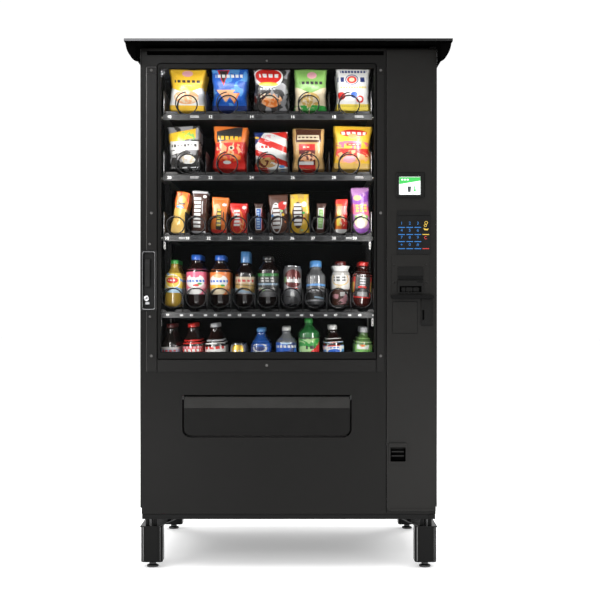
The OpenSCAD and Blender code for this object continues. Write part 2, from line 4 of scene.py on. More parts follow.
import bmesh
import bpy
from mathutils import Matrix, Vector, geometry, noise


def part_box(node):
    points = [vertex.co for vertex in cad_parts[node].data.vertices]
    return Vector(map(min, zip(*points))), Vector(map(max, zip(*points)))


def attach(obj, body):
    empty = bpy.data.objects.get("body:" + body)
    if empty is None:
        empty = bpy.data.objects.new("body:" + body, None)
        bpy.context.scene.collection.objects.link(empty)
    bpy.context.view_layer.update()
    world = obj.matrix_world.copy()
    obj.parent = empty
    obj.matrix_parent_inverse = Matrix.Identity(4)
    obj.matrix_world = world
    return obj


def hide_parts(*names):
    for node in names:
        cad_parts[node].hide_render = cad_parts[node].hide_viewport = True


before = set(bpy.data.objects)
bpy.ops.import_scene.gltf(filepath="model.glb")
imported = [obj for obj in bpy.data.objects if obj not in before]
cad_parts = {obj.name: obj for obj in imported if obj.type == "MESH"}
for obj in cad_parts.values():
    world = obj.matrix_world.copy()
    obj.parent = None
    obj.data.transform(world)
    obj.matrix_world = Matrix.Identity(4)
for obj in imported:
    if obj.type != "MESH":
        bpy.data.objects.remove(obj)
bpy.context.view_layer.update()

MM = 0.001
ORIGIN = (0, 0, 0)
scene = bpy.context.scene

# ---------------------------------------------------------------- places, from the frame

BOX = {n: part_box(n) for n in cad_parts}


def low(node, axis):
    return BOX[node][0]["xyz".index(axis)]


def high(node, axis):
    return BOX[node][1]["xyz".index(axis)]


def rect(node):
    """[x0, x1, z0, z1] of a node's front view."""
    lo, hi = BOX[node]
    return [lo[0], hi[0], lo[2], hi[2]]


def grown(r, left, right=None, down=None, up=None):
    """A rectangle moved outwards on each side, in millimetres."""
    right = left if right is None else right
    down = left if down is None else down
    up = down if up is None else up
    return [r[0] - left * MM, r[1] + right * MM, r[2] - down * MM, r[3] + up * MM]


FACE = low("door_shell", "y")              # front of the door skin
TRIM = low("column_panel", "y")            # front of the trims and the column panel
DOOR = rect("door_shell")
COLUMN = rect("column_panel")
WINDOW = rect("window_frame")
SEAM = COLUMN[0] - 2 * MM                  # joint between the window field and the column
SHEET = 2 * MM                             # thickness of the door's and canopy's sheet
COIL_LENGTH = 560 * MM
PACKED = 3                                 # goods drawn in each fixed column, from the front

# ---------------------------------------------------------------- camera, light and floor


def make_camera():
    """The photograph's camera: level, with its sight straight along +y."""
    cam = bpy.data.objects.new("camera", bpy.data.cameras.new("camera"))
    scene.collection.objects.link(cam)
    cam.data.lens = 76.6
    cam.data.sensor_width = 36
    cam.data.clip_end = 60
    cam.location = (0.040, -4.872, 0.947)
    cam.rotation_euler = (math.radians(90), 0, 0)
    scene.camera = cam


def area_light(name, place, target, size, power, colour=(1, 1, 1)):
    data = bpy.data.lights.new(name, "AREA")
    data.shape = "RECTANGLE"
    data.size, data.size_y = size
    data.energy = power
    data.color = colour
    light = bpy.data.objects.new(name, data)
    light.location = place
    light.rotation_euler = (Vector(target) - Vector(place)).to_track_quat("-Z", "Y").to_euler()
    scene.collection.objects.link(light)


def make_lights():
    area_light("key", (-3.4, -4.2, 3.2), (0, 0, 0.9), (2.4, 3.0), 100)
    area_light("fill", (3.6, -3.6, 1.6), (0, 0, 1.0), (1.6, 3.0), 30)
    area_light("overhead", (0, -0.6, 4.6), (0, 0, 0), (5.0, 5.0), 230)
    # Soft glints on the flat front: high on the left stile, low at both edges
    area_light("glint_high", (-1.06, -4.87, 2.72), (-0.5, -0.4, 1.8), (0.30, 0.40), 27)
    area_light("glint_left", (-0.90, -3.08, 0.20), (-0.5, -0.4, 0.45), (0.3, 0.5), 5)
    area_light("glint_right", (0.84, -3.08, 0.24), (0.5, -0.4, 0.5), (0.3, 0.5), 4)
    area_light("back_left", (-3.0, 3.2, 2.6), (0, 0.3, 1.0), (2.0, 2.5), 70)
    area_light("back_right", (3.2, 3.0, 2.4), (0, 0.3, 1.0), (2.0, 2.5), 70)
    # The strip lamps of the product space, behind the window frame
    y = high("window_pane", "y") + 14 * MM
    z = (WINDOW[2] + WINDOW[3]) / 2
    for name, x, aim in (("strip_left", WINDOW[0] + 5 * MM, 0.25),
                         ("strip_right", WINDOW[1] - 5 * MM, -0.25)):
        area_light(name, (x, y, z), (x + aim, y + 0.32, z), (0.03, 0.95), 4.3, (1.0, 0.98, 0.95))
    top = WINDOW[3] - 8 * MM
    area_light("strip_top", (-0.08, y, top), (-0.08, y + 0.16, top - 0.30), (0.70, 0.03), 1.9)
    world = bpy.data.worlds.new("studio")
    scene.world = world
    world.use_nodes = True
    tree = world.node_tree
    back = tree.nodes["Background"]
    back.inputs["Color"].default_value = (1, 1, 1, 1)
    back.inputs["Strength"].default_value = 0.80
    seen = tree.nodes.new("ShaderNodeBackground")
    seen.inputs["Color"].default_value = (1, 1, 1, 1)
    seen.inputs["Strength"].default_value = 1.05
    path = tree.nodes.new("ShaderNodeLightPath")
    mix = tree.nodes.new("ShaderNodeMixShader")
    tree.links.new(path.outputs["Is Camera Ray"], mix.inputs[0])
    tree.links.new(back.outputs[0], mix.inputs[1])
    tree.links.new(seen.outputs[0], mix.inputs[2])
    tree.links.new(mix.outputs[0], tree.nodes["World Output"].inputs[0])
    scene.view_settings.view_transform = "Standard"


def make_floor():
    """The plain pale floor that the machine stands on."""
    n = Nodes("floor_white", (0.88, 0.88, 0.88), 0.8)
    n.colour(n.ramp(n.noise(0.8, 2.0), [(0.3, (0.87, 0.87, 0.87)), (0.7, (0.89, 0.89, 0.89))]))
    n.set(Emission_Color=(1, 1, 1, 1), Emission_Strength=0.30)
    mesh = bpy.data.meshes.new("floor")
    half = 14                                  # metres to the sides and the front
    mesh.from_pydata([(-half, -half, 0), (half, -half, 0), (half, half * 2, 0), (-half, half * 2, 0)],
                     [], [(0, 1, 2, 3)])
    mesh.materials.append(n.mat)
    floor = bpy.data.objects.new("floor", mesh)
    scene.collection.objects.link(floor)


# ---------------------------------------------------------------- materials


class Nodes:
    """A Principled material and short calls that add nodes to it."""

    def __init__(self, name, colour, rough, metal=0.0):
        self.mat = bpy.data.materials.new(name)
        self.mat.use_nodes = True
        self.tree = self.mat.node_tree
        self.shader = self.tree.nodes["Principled BSDF"]
        self.shader.inputs["Base Color"].default_value = (*colour, 1)
        self.shader.inputs["Roughness"].default_value = rough
        self.shader.inputs["Metallic"].default_value = metal
        self.coords = self.tree.nodes.new("ShaderNodeTexCoord")

    def set(self, **values):
        for key, value in values.items():
            self.shader.inputs[key.replace("_", " ")].default_value = value
        return self

    def link(self, a, b):
        self.tree.links.new(a, b)

    def math(self, op, a, b=0.0, clamp=False):
        n = self.tree.nodes.new("ShaderNodeMath")
        n.operation = op
        n.use_clamp = clamp
        for i, value in enumerate((a, b)):
            if isinstance(value, (int, float)):
                n.inputs[i].default_value = value
            else:
                self.link(value, n.inputs[i])
        return n.outputs[0]

    def noise(self, scale, detail=2.0, stretch=(1, 1, 1), distortion=0.0, coords="Object"):
        at = self.tree.nodes.new("ShaderNodeMapping")
        at.inputs["Scale"].default_value = stretch
        self.link(self.coords.outputs[coords], at.inputs["Vector"])
        n = self.tree.nodes.new("ShaderNodeTexNoise")
        n.inputs["Scale"].default_value = scale
        n.inputs["Detail"].default_value = detail
        n.inputs["Distortion"].default_value = distortion
        self.link(at.outputs[0], n.inputs["Vector"])
        return n.outputs["Fac"]

    def ramp(self, fac, stops):
        n = self.tree.nodes.new("ShaderNodeValToRGB")
        while len(n.color_ramp.elements) < len(stops):
            n.color_ramp.elements.new(0.5)
        for e, (at, colour) in zip(n.color_ramp.elements, stops):
            e.position = at
            e.color = (*colour, 1) if len(colour) == 3 else colour
        self.link(fac, n.inputs[0])
        return n.outputs[0]

    def mix(self, fac, a, b):
        n = self.tree.nodes.new("ShaderNodeMix")
        n.data_type = "RGBA"
        for value, socket in ((fac, n.inputs[0]), (a, n.inputs[6]), (b, n.inputs[7])):
            if isinstance(value, (int, float)):
                socket.default_value = value
            elif isinstance(value, tuple):
                socket.default_value = (*value, 1)
            else:
                self.link(value, socket)
        return n.outputs[2]

    def colour(self, socket):
        self.link(socket, self.shader.inputs["Base Color"])
        return self

    def rough(self, fac, lo, hi):
        n = self.tree.nodes.new("ShaderNodeMapRange")
        n.inputs["To Min"].default_value = lo
        n.inputs["To Max"].default_value = hi
        self.link(fac, n.inputs["Value"])
        self.link(n.outputs[0], self.shader.inputs["Roughness"])
        return self

    def bump(self, fac, depth, strength=1.0):
        n = self.tree.nodes.new("ShaderNodeBump")
        n.inputs["Distance"].default_value = depth
        n.inputs["Strength"].default_value = strength
        if self.shader.inputs["Normal"].links:
            self.link(self.shader.inputs["Normal"].links[0].from_socket, n.inputs["Normal"])
        self.link(fac, n.inputs["Height"])
        self.link(n.outputs[0], self.shader.inputs["Normal"])
        return self


def shade(colour, k):
    return tuple(min(1.0, c * k) for c in colour)


def powder_coat(name, colour, rough=0.42, depth=0.00012, spec=0.35):
    """Textured stove paint on sheet steel: fine orange peel, slow tone changes, faint dust."""
    n = Nodes(name, colour, rough).set(Specular_IOR_Level=spec)
    slow = n.noise(1.7, 3.0)
    dust = n.noise(38.0, 5.0)
    tone = n.ramp(slow, [(0.3, shade(colour, 0.86)), (0.72, shade(colour, 1.16))])
    n.colour(n.mix(n.math("MULTIPLY", dust, 0.16), tone, shade(colour, 1.9)))
    n.rough(dust, rough - 0.05, rough + 0.09)
    n.bump(n.noise(900.0, 2.0), depth, 0.5)
    n.bump(n.noise(160.0, 2.0), depth * 1.5, 0.35)
    return n.mat


def moulded(name, colour, rough=0.45, grain=1400.0, spec=0.4):
    """Moulded plastic with a fine spark-eroded grain."""
    n = Nodes(name, colour, rough).set(Specular_IOR_Level=spec)
    cloud = n.noise(24.0, 4.0)
    n.colour(n.ramp(cloud, [(0.3, shade(colour, 0.9)), (0.7, shade(colour, 1.12))]))
    n.rough(cloud, rough - 0.04, rough + 0.06)
    n.bump(n.noise(grain, 2.0), 0.00006, 0.5)
    return n.mat


def metal(name, colour, rough=0.3, brushed=(1, 1, 1), scale=60.0, depth=0.00004):
    """Bare or plated metal, brushed where one axis is stretched."""
    n = Nodes(name, colour, rough, 1.0)
    streak = n.noise(scale, 4.0, brushed)
    n.colour(n.ramp(streak, [(0.25, shade(colour, 0.82)), (0.75, shade(colour, 1.1))]))
    n.rough(streak, rough - 0.07, rough + 0.12)
    n.bump(streak, depth, 0.4)
    return n.mat


def clear_glass():
    n = Nodes("clear_glass", (0.005, 0.006, 0.006), 0.03).set(Alpha=0.05, Specular_IOR_Level=0.5)
    n.rough(n.noise(3.0, 2.0), 0.02, 0.06)
    return n.mat


def glowing(name, colour, power):
    """A lit screen mark, or a printed mark with a painted glow: evenly coloured with a faint mottle."""
    n = Nodes(name, colour, 0.35)
    spots = n.noise(300.0, 2.0)
    tone = n.ramp(spots, [(0.3, shade(colour, 0.92)), (0.7, colour)])
    n.colour(tone)
    n.link(tone, n.shader.inputs["Emission Color"])
    n.set(Emission_Strength=power)
    return n.mat


def matt_black(name):
    """Matt black stove paint without any sheen at grazing angles."""
    n = Nodes(name, (0.001, 0.001, 0.001), 0.8).set(IOR=1.0)
    n.colour(n.ramp(n.noise(30.0, 4.0), [(0.3, (0.0008,) * 3), (0.7, (0.0016,) * 3)]))
    n.bump(n.noise(900.0, 2.0), 0.0001, 0.5)
    return n.mat


def fading_edge(name, axis, start, end, bright, dark, rough=0.34):
    """Painted fold with a painted highlight: bright at one end, fading to dark along an axis of the object, broken
    up by noise.
    """
    n = Nodes(name, dark, rough, 0.6)
    split = n.tree.nodes.new("ShaderNodeSeparateXYZ")
    n.link(n.coords.outputs["Object"], split.inputs[0])
    far = n.tree.nodes.new("ShaderNodeMapRange")
    far.inputs["From Min"].default_value = start
    far.inputs["From Max"].default_value = end
    n.link(split.outputs["XYZ".index(axis)], far.inputs["Value"])
    spots = n.math("MULTIPLY", n.noise(60.0, 3.0), 0.25)
    highlight_falloff = n.math("ADD", far.outputs[0], n.math("SUBTRACT", spots, 0.12), True)
    n.colour(n.mix(highlight_falloff, bright, dark))
    return n.mat


M = {
    # Painted highlights: bright at one end of the fold or lip, fading to dark at the other
    "canopy_edge": fading_edge("canopy_edge_painted_highlight", "X", -0.34, 0.00, (0.135, 0.135, 0.14),
                               (0.006, 0.006, 0.006), 0.6),
    "trim_edge": fading_edge("trim_edge_painted_highlight", "Z", 1.72, 0.9, (0.15, 0.147, 0.143), (0.055, 0.053, 0.05)),
    "leg_glint": metal("leg_ridge_painted_highlight", (0.14, 0.14, 0.14), 0.3, (1, 1, 0.1)),
    "handle": moulded("handle_plastic", (0.0074, 0.0073, 0.0071), 0.36, spec=0.19),
    "door": powder_coat("door_powder_coat", (0.0043, 0.0041, 0.0037), 0.34, spec=0.12),
    "panel": powder_coat("column_powder_coat", (0.0070, 0.0066, 0.0059), 0.34, spec=0.155),
    "flap": moulded("flap_plastic", (0.0036, 0.0034, 0.0031), 0.38, spec=0.10),
    "flap_band": moulded("flap_band_painted_highlight", (0.0150, 0.0145, 0.0135), 0.42, spec=0.17),
    "cabinet": powder_coat("cabinet_powder_coat", (0.0070, 0.0067, 0.0062), 0.40, spec=0.18),
    "canopy": matt_black("black_coat_and_painted_shade"),
    "liner": powder_coat("liner_paint", (0.0012, 0.0012, 0.0012), 0.6, 0.00006, 0.06),
    "base": powder_coat("base_paint", (0.0030, 0.0030, 0.0029), 0.40, 0.00008, 0.12),
    "leg": powder_coat("leg_paint", (0.0014, 0.0014, 0.0013), 0.22, 0.00003, 0.11),
    "frame": moulded("frame_plastic", (0.0033, 0.0032, 0.0029), 0.36, spec=0.10),
    "trim": powder_coat("trim_paint", (0.0054, 0.0051, 0.0047), 0.32, spec=0.14),
    "dark_rubber_and_shade": moulded("rubber_and_painted_shade", (0.0012, 0.0012, 0.0012), 0.7, 500.0, 0.05),
    "bezel": moulded("bezel_plastic", (0.0044, 0.0043, 0.0040), 0.42, spec=0.12),
    # Dark plastic, and dark plates that paint shade in gaps, slots and recesses
    "dark_and_shade": moulded("dark_plastic_and_painted_shade", (0.0018, 0.0018, 0.0018), 0.7, 500.0, 0.1),
    # Bright metal strips that paint highlights along edges
    "edge_light": metal("edge_painted_highlight", (0.42, 0.42, 0.43), 0.38, (0.1, 1, 1), 90.0),
    "keypad": moulded("keypad_membrane", (0.0046, 0.0046, 0.0045), 0.34, 900.0, 0.14),
    "glass": clear_glass(),
    "screw": metal("security_screw", (0.12, 0.117, 0.113), 0.38),
    "zinc": metal("zinc_plate", (0.30, 0.30, 0.29), 0.36),
    "chrome": metal("chrome", (0.72, 0.72, 0.73), 0.14),
    "machinery": powder_coat("machinery_paint", (0.012, 0.012, 0.012), 0.35),
    "fins": metal("aluminium_fins", (0.55, 0.55, 0.56), 0.4, (1, 1, 0.05)),
    "control": powder_coat("control_paint", (0.22, 0.23, 0.24), 0.45),
    "fan": moulded("fan_plastic", (0.02, 0.02, 0.021), 0.4),
    "foot": metal("foot_steel", (0.09, 0.09, 0.09), 0.36),
    "mechanism": moulded("mechanism_plastic", (0.012, 0.012, 0.012), 0.5),
    "bin": moulded("bin_plastic", (0.006, 0.006, 0.006), 0.5),
    "tray": powder_coat("tray_paint", (0.008, 0.0082, 0.0086), 0.45, spec=0.12),
    "rail": moulded("rail_plastic", (0.0135, 0.014, 0.0148), 0.46, spec=0.18),
    "lip": moulded("lip_plastic", (0.003, 0.003, 0.0033), 0.4, spec=0.2),
    "wire": metal("dark_wire", (0.03, 0.03, 0.031), 0.34, (1, 1, 1), 200.0),
    "end_plate": metal("end_plate", (0.12, 0.12, 0.12), 0.36, (1, 1, 1), 300.0, 0.0001),
    "side_edge": metal("rolled_edge", (0.34, 0.34, 0.35), 0.3, (1, 1, 0.1)),
    # Printed inks that glow though they are no lamps: painted light
    "white_ink_painted_glow": glowing("white_ink_painted_glow", (0.60, 0.60, 0.59), 0.12),
    "grey_ink_painted_glow": glowing("grey_ink_painted_glow", (0.26, 0.26, 0.26), 0.08),
    "blue_ink_painted_glow": glowing("blue_ink_painted_glow", (0.012, 0.115, 0.34), 0.35),
    "yellow_ink_painted_glow": glowing("yellow_ink_painted_glow", (0.55, 0.36, 0.04), 0.2),
    "red_ink_painted_glow": glowing("red_ink_painted_glow", (0.40, 0.02, 0.015), 0.25),
    "screen_white": glowing("screen_white", (0.80, 0.83, 0.82), 0.55),
    "screen_green": glowing("screen_green", (0.03, 0.36, 0.06), 0.45),
    "screen_dark": glowing("screen_dark", (0.03, 0.04, 0.04), 0.05),
}

# ---------------------------------------------------------------- mesh tools


def outline(r, radii=0, steps=7):
    """Rounded rectangle as (x, z) points; radii in mm from the lower left round, or one for all corners."""
    radii = radii if isinstance(radii, tuple) else (radii,) * 4
    x0, x1, z0, z1 = r
    corners = [(x0, z0, 1, 1, 180), (x1, z0, -1, 1, 270), (x1, z1, -1, -1, 0), (x0, z1, 1, -1, 90)]
    points = []
    for (x, z, sx, sz, start), radius in zip(corners, radii):
        q = radius * MM
        if q <= 0:
            points.append((x, z))
            continue
        for k in range(steps + 1):
            a = math.radians(start + 90 * k / steps)
            points.append((x + sx * q + q * math.cos(a), z + sz * q + q * math.sin(a)))
    return points


def ring(r, grow, radii, y, steps):
    """Loop of points at depth y round a rectangle grown by some millimetres."""
    return [(x, y, z) for x, z in outline(grown(r, grow), radii, steps)]


def round_edges(obj, bevel, segments=2):
    """Rounds an object's edges by bevel mm."""
    if bevel:
        mod = obj.modifiers.new("rounded_edges", "BEVEL")
        mod.width = bevel * MM
        mod.segments = segments
        mod.limit_method = "ANGLE"
        mod.angle_limit = math.radians(40)


def inside(p, loop):
    """Whether a point lies inside a closed outline."""
    hit = False
    for (x0, z0), (x1, z1) in zip(loop, loop[1:] + loop[:1]):
        if (z0 > p[1]) != (z1 > p[1]) and p[0] < x0 + (x1 - x0) * (p[1] - z0) / (z1 - z0):
            hit = not hit
    return hit


class Piece:
    """Collects geometry for one named piece, with one or more materials."""

    def __init__(self, name, *materials):
        self.name = name
        self.materials = [M[m] if isinstance(m, str) else m for m in materials]
        self.bm = bmesh.new()
        self.uv = self.bm.loops.layers.uv.new("map")
        self.mark = 0

    def prism(self, points, y0, y1, holes=(), mat=0):
        """Plate in the XZ plane from y0 to y1, with holes."""
        self.mark = len(self.bm.verts)
        start = len(self.bm.faces)
        flat, edges = [], []
        for loop in (points, *holes):
            first = len(flat)
            flat += [Vector(p) for p in loop]
            edges += [(first + i, first + (i + 1) % len(loop)) for i in range(len(loop))]
        flat, _, faces, *_ = geometry.delaunay_2d_cdt(flat, edges, [], 0, 1e-7)
        used = {}
        for face in faces:
            middle = sum((flat[i] for i in face), Vector((0, 0))) / len(face)
            if inside(middle, points) and not any(inside(middle, h) for h in holes):
                for i in face:
                    if i not in used:
                        used[i] = self.bm.verts.new((flat[i][0], y0, flat[i][1]))
                self.bm.faces.new([used[i] for i in face])
        self.bm.faces.ensure_lookup_table()
        front = self.bm.faces[start:]
        made = bmesh.ops.extrude_face_region(self.bm, geom=front)
        for v in (g for g in made["geom"] if isinstance(g, bmesh.types.BMVert)):
            v.co.y = y1
        self.bm.faces.ensure_lookup_table()
        new = self.bm.faces[start:]
        bmesh.ops.recalc_face_normals(self.bm, faces=new)
        for f in new:
            f.material_index = mat
        return self

    def plate(self, r, y0, y1, radii=0, holes=(), mat=0):
        return self.prism(outline(r, radii), y0, y1, holes, mat)

    def box(self, lo, hi, mat=0):
        return self.prism(outline([lo[0], hi[0], lo[2], hi[2]]), lo[1], hi[1], (), mat)

    def skin(self, loops, closed=True, caps=(False, False), smooth=False, mat=0, uv=None):
        """Faces between successive loops of points; uv is a function of (loop, index)."""
        rings = [[self.bm.verts.new(p) for p in loop] for loop in loops]
        n = len(rings[0])
        made = []
        for i in range(len(rings) - 1):
            for j in range(n if closed else n - 1):
                k = (j + 1) % n
                f = self.bm.faces.new((rings[i][j], rings[i][k], rings[i + 1][k], rings[i + 1][j]))
                f.smooth = smooth
                f.material_index = mat
                made.append(f)
                if uv:
                    at = ((i, j), (i, j + 1), (i + 1, j + 1), (i + 1, j))
                    for corner, (a, b) in zip(f.loops, at):
                        corner[self.uv].uv = uv(a, b)
        for cap, end in zip(caps, (rings[0][::-1], rings[-1])):
            if cap:
                f = self.bm.faces.new(end)
                f.material_index = mat
                made.append(f)
        bmesh.ops.recalc_face_normals(self.bm, faces=made)
        return self

    def lathe(self, profile, centre, axis="z", sides=32, caps=(True, True), mat=0, uv=False, ridge=None):
        """Surface of revolution; profile is (radius, height) pairs along the axis."""
        top = profile[-1][1] - profile[0][1]
        loops = []
        for r, h in profile:
            loop = []
            for k in range(sides):
                a = 2 * math.pi * k / sides - math.pi / 2
                q = r * (ridge[k % 2] if ridge else 1.0)
                c, s = q * math.cos(a), q * math.sin(a)
                p = (c, s, h) if axis == "z" else (c, h, s) if axis == "y" else (h, c, s)
                loop.append(Vector(centre) + Vector(p))
            loops.append(loop)

        def place(i, j):
            return (j / sides + 0.5) % 1.0001, (profile[i][1] - profile[0][1]) / top

        return self.skin(loops, True, caps, True, mat, place if uv else None)

    def tube(self, points, radius, sides=8, caps=(True, True), mat=0):
        """Round tube along points."""
        loops = []
        for i, p in enumerate(points):
            a = points[max(i - 1, 0)]
            b = points[min(i + 1, len(points) - 1)]
            t = (Vector(b) - Vector(a)).normalized()
            side = t.cross(Vector((0, 1, 0)) if abs(t.y) < 0.9 else Vector((1, 0, 0))).normalized()
            up = side.cross(t)
            loops.append([Vector(p) + radius * (math.cos(q) * side + math.sin(q) * up)
                          for q in (2 * math.pi * k / sides for k in range(sides))])
        return self.skin(loops, True, caps, True, mat)

    def text(self, words, size, x, y, z, mat=0):
        """Flat numerals facing the front."""
        data = bpy.data.curves.new("numerals", "FONT")
        data.body = words
        data.size = size
        data.resolution_u = 3
        data.extrude = 0.0001
        data.align_x = "CENTER"
        data.align_y = "CENTER"
        holder = bpy.data.objects.new("numerals", data)
        scene.collection.objects.link(holder)
        bpy.context.view_layer.update()
        flat = bpy.data.meshes.new_from_object(holder.evaluated_get(bpy.context.evaluated_depsgraph_get()))
        bpy.data.objects.remove(holder)
        flat.transform(Matrix.Translation((x, y, z)) @ Matrix.Rotation(math.pi / 2, 4, "X"))
        start = len(self.bm.faces)
        self.bm.from_mesh(flat)
        self.bm.faces.ensure_lookup_table()
        for f in self.bm.faces[start:]:
            f.material_index = mat
        bpy.data.meshes.remove(flat)
        bpy.data.curves.remove(data)
        return self

    def done(self, body, replaces=(), bevel=0.0, segments=2):
        """Makes the object, rounds its edges by bevel mm, and lets it ride on a body."""
        mesh = bpy.data.meshes.new(self.name)
        self.bm.to_mesh(mesh)
        self.bm.free()
        obj = bpy.data.objects.new(self.name, mesh)
        scene.collection.objects.link(obj)
        for m in self.materials:
            mesh.materials.append(m)
        round_edges(obj, bevel, segments)
        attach(obj, body)
        if replaces:
            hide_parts(*replaces)
        return obj


def paint(node, material, bevel=0.0):
    """Gives a CAD node its material, and rounds its edges by bevel mm."""
    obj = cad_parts[node]
    obj.data.materials.clear()
    obj.data.materials.append(M[material])
    round_edges(obj, bevel)


# ---------------------------------------------------------------- cabinet, canopy and legs

# CAD nodes that keep their shape, by material
PAINTED = {
    "cabinet": ("cabinet_left_wall", "cabinet_right_wall", "cabinet_back_panel", "cabinet_top_panel"),
    "base": ("cabinet_base_pan", "leg_bolts", "rear_grille", "hinge_brackets"), "leg": ("leg_plates",),
    "liner": ("product_liner", "door_inner_panel"), "zinc": ("tray_runners",), "machinery": ("compressor",),
    "fins": ("condenser_coil",), "control": ("control_box",), "fan": ("condenser_fan",),
    "canopy": ("canopy_side_fairings",), "glass": ("window_pane",), "bin": ("delivery_bin",),
}


def paint_nodes():
    for material, nodes in PAINTED.items():
        for node in nodes:
            paint(node, material)
    paint("bill_validator", "mechanism", 1.0)
    paint("coin_mechanism", "mechanism", 1.0)
    paint("latch_bolt", "zinc", 0.8)


def back_screws():
    lo, hi = BOX["cabinet_back_panel"]
    screws = Piece("back_panel_screws", "zinc")
    for x in (lo[0] + 14 * MM, hi[0] - 14 * MM):
        for k in range(7):
            z = lo[2] + 0.03 + k * (hi[2] - lo[2] - 0.06) / 6
            screws.lathe([(4.5 * MM, hi[1] - 3 * MM), (4.2 * MM, hi[1] - 0.6 * MM),
                          (2.4 * MM, hi[1] - 0.1 * MM)],
                         (x, 0, z), "y", 16, (False, True))
    screws.done("cabinet")


def canopy():
    """Overhanging sheet with folded lips; the front fold carries a painted highlight, bright at its left end and
    fading to dark.
    """
    lo, hi = BOX["rain_canopy"]
    under = hi[2] - 10 * MM
    sheet = Piece("canopy_sheet", "canopy", "canopy_edge", "cabinet")
    sheet.box((lo[0], lo[1] + 1.4 * MM, hi[2] - 1 * MM), (hi[0], hi[1], hi[2]), 2)
    sheet.box((lo[0], lo[1] + 1.4 * MM, hi[2] - 2.1 * MM), (hi[0], hi[1], hi[2] - 1.1 * MM))
    sheet.box((lo[0], lo[1], under + 1.6 * MM), (hi[0], lo[1] + 1.2 * MM, hi[2]), 1)
    for x in (lo[0], hi[0] - SHEET):
        sheet.box((x, lo[1] + 1.4 * MM, under), (x + SHEET, hi[1], hi[2] - 2.2 * MM), 2)
    top = high("cabinet_top_panel", "z") + 0.2 * MM
    for x in (-380, 0, 380):
        sheet.box(((x - 30) * MM, low("cabinet_top_panel", "y") + 40 * MM, top),
                  ((x + 30) * MM, hi[1] - 40 * MM, hi[2] - 2.2 * MM))
    sheet.done("cabinet", ["rain_canopy"], bevel=0.4)


def legs():
    """Posts of folded sheet with flutes down their edges, and the feet's hexagons and threads."""
    z0, z1 = low("leg_posts", "z"), high("leg_posts", "z")
    centres = {n: [(a + b) / 2 for a, b in zip(*BOX[n])] for n in BOX if n.startswith("foot_")}
    half_w = min(abs(low("leg_posts", "x") - centres["foot_front_left"][0]), 0.05)
    half_d = abs(low("leg_posts", "y") - centres["foot_front_left"][1])
    posts = Piece("leg_posts_fluted", "leg", "leg_glint")
    for x, y, _ in centres.values():
        loop = outline([-half_w, half_w, -half_d, half_d], 12, 6)
        fluted = []
        for i, (a, b) in enumerate(zip(loop, loop[1:] + loop[:1])):
            steps = max(1, int(math.dist(a, b) / 0.0015))
            for k in range(steps):
                q = k / steps
                px, py = a[0] + (b[0] - a[0]) * q, a[1] + (b[1] - a[1]) * q
                groove = 0.0
                for flute in (0.60, 0.86):
                    groove += 1.6 * MM * math.exp(-((abs(px) / half_w - flute) / 0.045) ** 2)
                fluted.append((px, py - math.copysign(groove if abs(abs(py) - half_d) < 1e-4 else 0, py)))
        rings = [[(x + px * s, y + py * s, z) for px, py in fluted] for s, z in (
            (0.95, z0), (0.985, z0 + 1 * MM), (1.0, z0 + 3 * MM), (1.0, z0 + 6 * MM), (1.0, z1 - 1 * MM), (1.0, z1))]
        posts.skin(rings, True, (True, True), True)
        # Ridges beside the flutes of the front posts, in bright metal that paints a highlight
        if y < 0:
            for left, right, proud in ((x - half_w + 7 * MM, x - half_w + 10 * MM, 0.5),
                                       (x + half_w - 9 * MM, x + half_w - 8 * MM, 0.3)):
                posts.box((left, y - half_d - proud * MM, z0 + 4 * MM),
                          (right, y - half_d + 1 * MM, z1 - 2 * MM), 1)
    posts.done("cabinet", ["leg_posts"])
    for node, (x, y, _) in centres.items():
        foot = Piece(node + "_turned", "foot")
        r = (high(node, "x") - low(node, "x")) / 2
        foot.lathe([(r * 0.9, 0.0), (r, 1.2 * MM), (r, 5 * MM), (r * 0.95, 7 * MM), (r * 0.66, 9.5 * MM),
                    (8 * MM, 11 * MM)],
                   (x, y, 0), "z", 48)
        foot.lathe([(12 * MM, 10.5 * MM), (13 * MM, 11.5 * MM), (13 * MM, 16 * MM), (12 * MM, 17 * MM)],
                   (x, y, 0), "z", 6)
        thread = [(8 * MM - (0.9 * MM if k % 2 else 0), (17 + k * 0.8) * MM) for k in range(60)]
        foot.lathe(thread, (x, y, 0), "z", 20)
        foot.done(node, [node])


# ---------------------------------------------------------------- door


